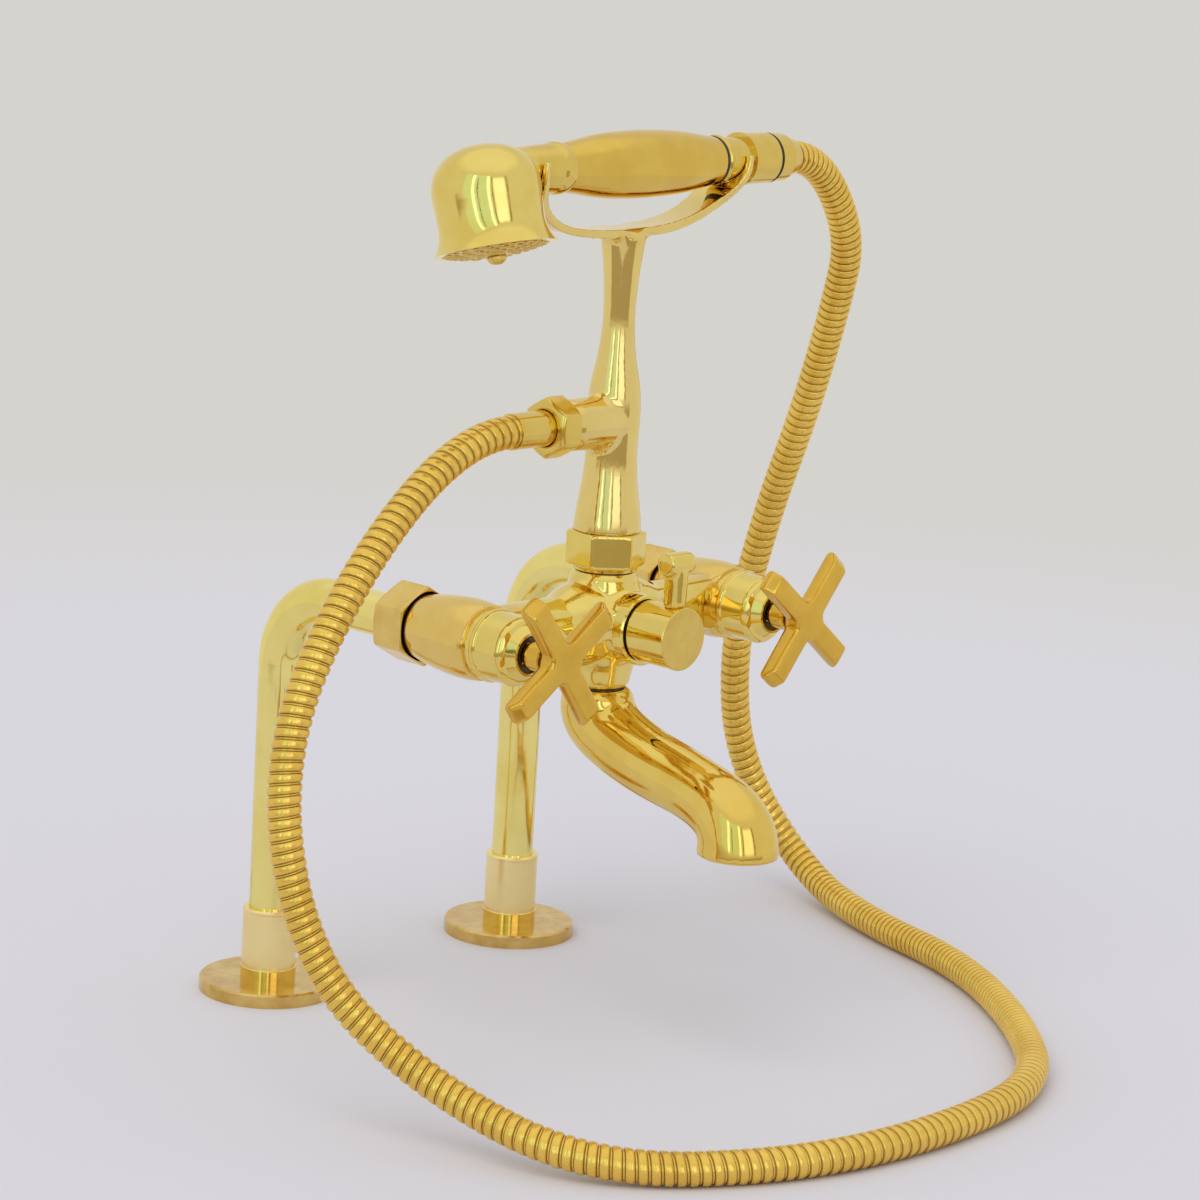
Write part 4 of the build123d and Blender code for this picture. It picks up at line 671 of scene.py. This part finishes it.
def make_world():
    """A pale backdrop for the camera; for what metal mirrors, a pale room with a dimmer side and two windows."""
    world = bpy.data.worlds.new("soft_room")
    bpy.context.scene.world = world
    world.use_nodes = True
    tree = world.node_tree
    tree.nodes.clear()
    out = add(tree, "ShaderNodeOutputWorld")
    rays = add(tree, "ShaderNodeLightPath")
    place = add(tree, "ShaderNodeTexCoord")
    split = add(tree, "ShaderNodeSeparateXYZ")
    tree.links.new(place.outputs["Generated"], split.inputs["Vector"])
    shares = []
    for axis in ((-math.sin(CAMERA_AZIMUTH), -math.cos(CAMERA_AZIMUTH), 0.0),
                 (math.cos(CAMERA_AZIMUTH), -math.sin(CAMERA_AZIMUTH), 0.0)):
        dot = add(tree, "ShaderNodeVectorMath", {"operation": "DOT_PRODUCT"})
        dot.inputs[1].default_value = axis
        tree.links.new(place.outputs["Generated"], dot.inputs[0])
        shares.append(dot.outputs["Value"])
    turn = math_node(tree, "ARCTAN2", shares[1], shares[0])
    height = split.outputs["Z"]
    room = None
    for colour, region in ROOM_PATCHES:
        mix = add(tree, "ShaderNodeMix", {"data_type": "RGBA"})
        mix.inputs[COLOUR_A].default_value = rgba(ROOM_WALL)
        mix.inputs[COLOUR_B].default_value = rgba(colour)
        if room:
            tree.links.new(room, mix.inputs[COLOUR_A])
        tree.links.new(pane(tree, turn, height, region), mix.inputs["Factor"])
        room = mix.outputs[COLOUR_OUT]
    seen = add(tree, "ShaderNodeBackground")
    tree.links.new(room, seen.inputs["Color"])
    pale = add(tree, "ShaderNodeBackground", values={"Color": rgba(look().backdrop_colour), "Strength": 1.0})
    soft = add(tree, "ShaderNodeBackground", values={"Color": FILL_COLOUR, "Strength": look().fill_light})
    either = math_node(tree, "MAXIMUM", rays.outputs["Is Glossy Ray"], rays.outputs["Is Transmission Ray"])
    mirror = add(tree, "ShaderNodeMixShader")
    final = add(tree, "ShaderNodeMixShader")
    tree.links.new(either, mirror.inputs["Fac"])
    tree.links.new(soft.outputs["Background"], mirror.inputs[1])
    tree.links.new(seen.outputs["Background"], mirror.inputs[2])
    tree.links.new(rays.outputs["Is Camera Ray"], final.inputs["Fac"])
    tree.links.new(mirror.outputs["Shader"], final.inputs[1])
    tree.links.new(pale.outputs["Background"], final.inputs[2])
    tree.links.new(final.outputs["Shader"], out.inputs["Surface"])


class MIXER_OT_stage(bpy.types.Operator):
    """Camera, pale deck, a soft lamp and the room that the brass mirrors"""

    bl_idname = "mixer.stage"
    bl_label = "Stage"

    def execute(self, context):
        context.scene.view_settings.view_transform = "Standard"
        make_camera()
        make_floor()
        make_world()
        make_lamp()
        return {"FINISHED"}


# Hose
def fine_line(name, points, steps):
    """Points along a NURBS line through the route, close together."""
    curve = bpy.data.curves.new(name, "CURVE")
    curve.dimensions = "3D"
    spline = curve.splines.new("NURBS")
    spline.points.add(len(points) - 1)
    for point, spot in zip(spline.points, points):
        point.co = (*spot, 1.0)
    spline.order_u = 3
    spline.use_endpoint_u = True
    spline.resolution_u = steps
    obj = link(bpy.data.objects.new(name, curve))
    mesh = bpy.data.meshes.new_from_object(obj)
    spots = [vertex.co.copy() for vertex in mesh.vertices]
    bpy.data.objects.remove(obj)
    bpy.data.curves.remove(curve)
    bpy.data.meshes.remove(mesh)
    return spots


class Track:
    """A line with its length, and a frame at any distance along it that is carried without twist."""

    def __init__(self, spots):
        self.spots = spots
        self.marks = [0.0]
        for a, b in zip(spots, spots[1:]):
            self.marks.append(self.marks[-1] + (b - a).length)
        self.length = self.marks[-1]
        self.tangents = []
        last = len(spots) - 1
        for i in range(len(spots)):
            self.tangents.append((spots[min(i + 1, last)] - spots[max(i - 1, 0)]).normalized())
        side = Vector((0.0, 1.0, 0.0))
        self.sides = []
        for tangent in self.tangents:
            side = (side - tangent * side.dot(tangent)).normalized()
            self.sides.append(side)
        self.cursor = 0

    def at(self, distance):
        distance = min(max(distance, 0.0), self.length)
        while self.cursor > 0 and self.marks[self.cursor] > distance:
            self.cursor -= 1
        while self.cursor < len(self.marks) - 2 and self.marks[self.cursor + 1] < distance:
            self.cursor += 1
        i = self.cursor
        share = (distance - self.marks[i]) / (self.marks[i + 1] - self.marks[i])
        spot = self.spots[i].lerp(self.spots[i + 1], share)
        tangent = self.tangents[i].lerp(self.tangents[i + 1], share).normalized()
        side = self.sides[i].lerp(self.sides[i + 1], share)
        side = (side - tangent * side.dot(tangent)).normalized()
        return spot, side, tangent.cross(side)


def rib_phases(track, pitch):
    """How many ribs lie before each spot of the line, ending on a whole rib."""
    marks, shares = zip(*PITCH_SHARES)
    phases = [0.0]
    for near, far in zip(track.marks, track.marks[1:]):
        share = numpy.interp((near + far) / 2 / track.length, marks, shares)
        phases.append(phases[-1] + (far - near) / (pitch * share))
    ribs = round(phases[-1])
    return [phase * ribs / phases[-1] for phase in phases], ribs


def ribbed_tube(track, radius, pitch, depth, sides):
    """Wound ribs that climb one pitch a turn, closed at both ends down to the bore."""
    rows = len(RIB_PROFILE)
    phases, ribs = rib_phases(track, pitch)
    verts = []
    faces = []
    groove_shading = []
    total = ribs * rows + rows
    for row in range(total + 1):
        along, sunk, dark = RIB_PROFILE[row % rows]
        for side in range(sides):
            phase = row // rows - 1 + along + side / sides
            inside = 0.0 < phase < ribs
            spot, right, up = track.at(float(numpy.interp(phase, phases, track.marks)))
            angle = 2 * math.pi * side / sides
            reach = radius - (depth * sunk if inside else 0.0)
            verts.append(spot + (right * math.cos(angle) + up * math.sin(angle)) * reach)
            # How dark the painted shade of the groove lies at this point
            groove_shading.append(dark if inside else 0.0)
    for row in range(total):
        for side in range(sides):
            near = row * sides + side
            far = near + sides
            if side < sides - 1:
                faces.append([near, near + 1, far + 1, far])
            elif row + 1 + rows <= total:
                faces.append([near, (row + rows) * sides, (row + 1 + rows) * sides, far])
    return verts, faces, groove_shading


def bore_tube(track, outer, bore, sides, spacing):
    """The plain bore and the flat rings that close the wall at both ends."""
    verts = []
    faces = []
    count = round(track.length / spacing)
    radii = [(0.0, outer)] + [(track.length * i / count, bore) for i in range(count + 1)] + [(track.length, outer)]
    for distance, reach in radii:
        spot, right, up = track.at(distance)
        for side in range(sides):
            angle = 2 * math.pi * side / sides
            verts.append(spot + (right * math.cos(angle) + up * math.sin(angle)) * reach)
    for row in range(len(radii) - 1):
        low = row * sides
        high = low + sides
        for side in range(sides):
            after = (side + 1) % sides
            faces.append([low + side, high + side, high + after, low + after])
    return verts, faces


class MIXER_OT_shower_hose(bpy.types.Operator):
    """The ribbed hose, wound along its route from the branch to the handset"""

    bl_idname = "mixer.shower_hose"
    bl_label = "Shower hose"

    def execute(self, context):
        own = look()
        track = Track(fine_line("hose_line", HOSE_ROUTE, HOSE_STEPS))
        radius = own.hose_diameter / 2
        verts, faces, grooves = ribbed_tube(track, radius, own.rib_pitch, own.rib_depth, own.rib_sides)
        inner_verts, inner_faces = bore_tube(track, radius, HOSE_BORE, own.rib_sides, own.rib_pitch)
        first = len(verts)
        verts += inner_verts
        faces += [[corner + first for corner in face] for face in inner_faces]
        grooves += [0.0] * len(inner_verts)
        data = bpy.data.meshes.new("shower_hose_strip")
        data.from_pydata(verts, [], faces)
        # Painted shade for the grooves, as a value on each point
        marks = data.attributes.new("groove_shade", "FLOAT", "POINT")
        marks.data.foreach_set("value", grooves)
        tidy = bmesh.new()
        tidy.from_mesh(data)
        bmesh.ops.remove_doubles(tidy, verts=tidy.verts, dist=1e-6)
        bmesh.ops.recalc_face_normals(tidy, faces=tidy.faces)
        for face in tidy.faces:
            face.smooth = True
        tidy.to_mesh(data)
        tidy.free()
        data.materials.append(hose_finish())
        hose = link(bpy.data.objects.new("shower_hose_strip", data))
        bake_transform(hose)
        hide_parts("shower_hose")
        return {"FINISHED"}


# Castings and other pieces that stand for a CAD node
def stand_in(data, name, *nodes):
    """A piece in the place of CAD nodes, on their body and with their finish."""
    piece = link(bpy.data.objects.new(name, data))
    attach(piece, BODY_OF[nodes[0]])
    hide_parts(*nodes)
    PIECES[nodes[0]] = piece
    return piece


def even_mesh(node, detail):
    """The node's form, meshed again with small even faces."""
    data = NODES[node].data.copy()
    draft = link(bpy.data.objects.new("draft", data))
    remesh = draft.modifiers.new("even", "REMESH")
    remesh.mode = "VOXEL"
    remesh.voxel_size = detail
    remesh.use_smooth_shade = True
    graph = bpy.context.evaluated_depsgraph_get()
    mesh = bpy.data.meshes.new_from_object(draft.evaluated_get(graph), depsgraph=graph)
    bpy.data.objects.remove(draft)
    bpy.data.meshes.remove(data)
    mesh.materials.clear()
    return mesh


def read_points(data, name):
    values = numpy.empty(len(data.vertices) * 3)
    data.vertices.foreach_get(name, values)
    return values.reshape(-1, 3)


def soften(data, detail, rounds, zones=None):
    """Round the inner corners that lie in the zones, or every edge where no zone is given."""
    spots = read_points(data, "co")
    ends = numpy.empty(len(data.edges) * 2, dtype=numpy.int32)
    data.edges.foreach_get("vertices", ends)
    near, far = ends[0::2], ends[1::2]
    count = len(spots)
    degree = numpy.bincount(near, minlength=count) + numpy.bincount(far, minlength=count)

    def average(values):
        sums = [numpy.bincount(near, values[far, k], count) + numpy.bincount(far, values[near, k], count)
                for k in range(values.shape[1])]
        return numpy.stack(sums, axis=1) / degree[:, None]

    mask = numpy.ones((count, 1))
    if zones:
        hollow = ((average(spots) - spots) * read_points(data, "normal")).sum(axis=1, keepdims=True)
        mask = (hollow > detail * HOLLOW_SHARE).astype(float)
        mask = (average(mask) > HOLLOW_COMPANY).astype(float)
        for _ in range(HOLLOW_REACH):
            mask = numpy.maximum(mask, (average(mask) > 0.0).astype(float))
        for _ in range(HOLLOW_BLUR):
            mask = average(mask)
        nearness = numpy.zeros((count, 1))
        for centre, radius in zones:
            away = numpy.linalg.norm(spots - numpy.array(centre), axis=1, keepdims=True)
            nearness = numpy.maximum(nearness, numpy.clip((radius - away) / (radius * ZONE_FADE), 0.0, 1.0))
        mask = mask * nearness
    for _ in range(rounds):
        spots += (average(spots) - spots) * mask * SOFTEN_STEP
    data.vertices.foreach_set("co", spots.ravel())
    data.update()


def recess(node, axis, depth):
    """The ring with its rim drawn in towards its axis."""
    data = NODES[node].data.copy()
    spots = read_points(data, "co")
    away = spots - (spots.min(axis=0) + spots.max(axis=0)) / 2
    away[:, axis] = 0.0
    reach = numpy.linalg.norm(away, axis=1, keepdims=True)
    rim = reach > reach.max() - depth
    spots -= away / reach * depth * rim
    data.vertices.foreach_set("co", spots.ravel())
    data.update()
    return data


class MIXER_OT_castings(bpy.types.Operator):
    """Body, riser and cross handles with the soft inner corners and rubbed edges of hand-finished castings"""

    bl_idname = "mixer.castings"
    bl_label = "Castings"

    def execute(self, context):
        detail = look().cast_detail
        for node, zones in CAST_ZONES.items():
            data = even_mesh(node, detail)
            soften(data, detail, CAST_ROUNDS, zones)
            stand_in(data, f"{node}_casting", node)
        for node, (size, rounds) in RUBBED.items():
            data = even_mesh(node, size)
            soften(data, size, rounds)
            stand_in(data, f"{node}_casting", node)
        for node, (axis, depth) in RECESSED.items():
            stand_in(recess(node, axis, depth), f"{node}_recessed", node)
        return {"FINISHED"}


# Spray face
def bell_spot(across, along, up):
    """A point of the bell's own frame, in millimetres, as a place in the mixer's."""
    side = Vector((1.0, 0.0, 0.0))
    front = Vector((0.0, math.cos(BELL_TILT), -math.sin(BELL_TILT)))
    return BELL_CENTRE + (side * across + front * along + BELL_AXIS * up) / 1000


class MIXER_OT_spray_face(bpy.types.Operator):
    """Rings of small raised nozzles on the spray plate, and a slot in the head of its screw"""

    bl_idname = "mixer.spray_face"
    bl_label = "Spray face"

    def execute(self, context):
        verts = []
        faces = []
        for count, share, offset in NOZZLE_RINGS:
            reach = PLATE_RADIUS * share
            base = PLATE_FACE - PLATE_CROWN * (1 - share ** 2)
            for step in range(count):
                turn = 2 * math.pi * (step + offset) / count
                middle = (reach * math.cos(turn), reach * math.sin(turn))
                first = len(verts)
                for radius, stand_out in NOZZLE_PROFILE:
                    for side in range(NOZZLE_SIDES):
                        angle = 2 * math.pi * side / NOZZLE_SIDES
                        across = middle[0] + radius * math.cos(angle)
                        along = middle[1] + radius * math.sin(angle)
                        verts.append(bell_spot(across, along, base - stand_out))
                for row in range(len(NOZZLE_PROFILE) - 1):
                    low = first + row * NOZZLE_SIDES
                    high = low + NOZZLE_SIDES
                    for side in range(NOZZLE_SIDES):
                        after = (side + 1) % NOZZLE_SIDES
                        faces.append([low + side, low + after, high + after, high + side])
        data = bpy.data.meshes.new("spray_nozzles")
        data.from_pydata(verts, [], faces)
        data.polygons.foreach_set("use_smooth", [True] * len(faces))
        piece = link(bpy.data.objects.new("spray_nozzles", data))
        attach(piece, BODY_OF["spray_plate"])
        PIECES["spray_nozzles"] = piece

        screw = even_mesh("plate_screw", SCREW_DETAIL)
        floor = SCREW_SLOT_FLOOR / 1000
        for vertex in screw.vertices:
            away = vertex.co - BELL_CENTRE
            height = away.dot(BELL_AXIS)
            if abs(away.x) < SCREW_SLOT_WIDTH / 2000 and height < floor:
                vertex.co += BELL_AXIS * (floor - height)
        stand_in(screw, "plate_screw_slotted", "plate_screw")
        return {"FINISHED"}


# Finishes of the rigid pieces
def paint(material, names):
    for name in names:
        for piece in (NODES.get(name), PIECES.get(name)):
            if piece:
                piece.data.materials.clear()
                piece.data.materials.append(material)


class MIXER_OT_finishes(bpy.types.Operator):
    """Brass, rubber, ceramic and steel finishes for the rigid pieces"""

    bl_idname = "mixer.finishes"
    bl_label = "Finishes"

    def execute(self, context):
        for name, first, extras, nodes in METAL_FINISHES:
            paint(brass_finish(name, first, **extras), nodes)
        for name, colour, deep, rough, metallic, nodes in PLAIN_FINISHES:
            paint(plain_finish(name, colour, deep, rough, metallic), nodes)
        return {"FINISHED"}


class MIXER_PT_panel(bpy.types.Panel):
    """Sizes, colours and steps of the mixer"""

    bl_idname = "MIXER_PT_panel"
    bl_label = "Bath Mixer"
    bl_space_type = "VIEW_3D"
    bl_region_type = "UI"
    bl_category = "Bath Mixer"

    def draw(self, context):
        own = context.scene.bath_mixer
        for name in MixerLook.__annotations__:
            self.layout.prop(own, name)
        for step in STEPS:
            self.layout.operator(step.bl_idname)


STEPS = (MIXER_OT_stage, MIXER_OT_shower_hose, MIXER_OT_castings, MIXER_OT_spray_face, MIXER_OT_finishes)
CLASSES = (MixerLook, *STEPS, MIXER_PT_panel)


def register():
    for item in CLASSES:
        bpy.utils.register_class(item)
    bpy.types.Scene.bath_mixer = PointerProperty(type=MixerLook)


def unregister():
    del bpy.types.Scene.bath_mixer
    for item in reversed(CLASSES):
        bpy.utils.unregister_class(item)


def main():
    register()
    bpy.ops.mixer.stage()
    bpy.ops.mixer.shower_hose()
    bpy.ops.mixer.castings()
    bpy.ops.mixer.spray_face()
    bpy.ops.mixer.finishes()


if __name__ == "__main__":
    main()
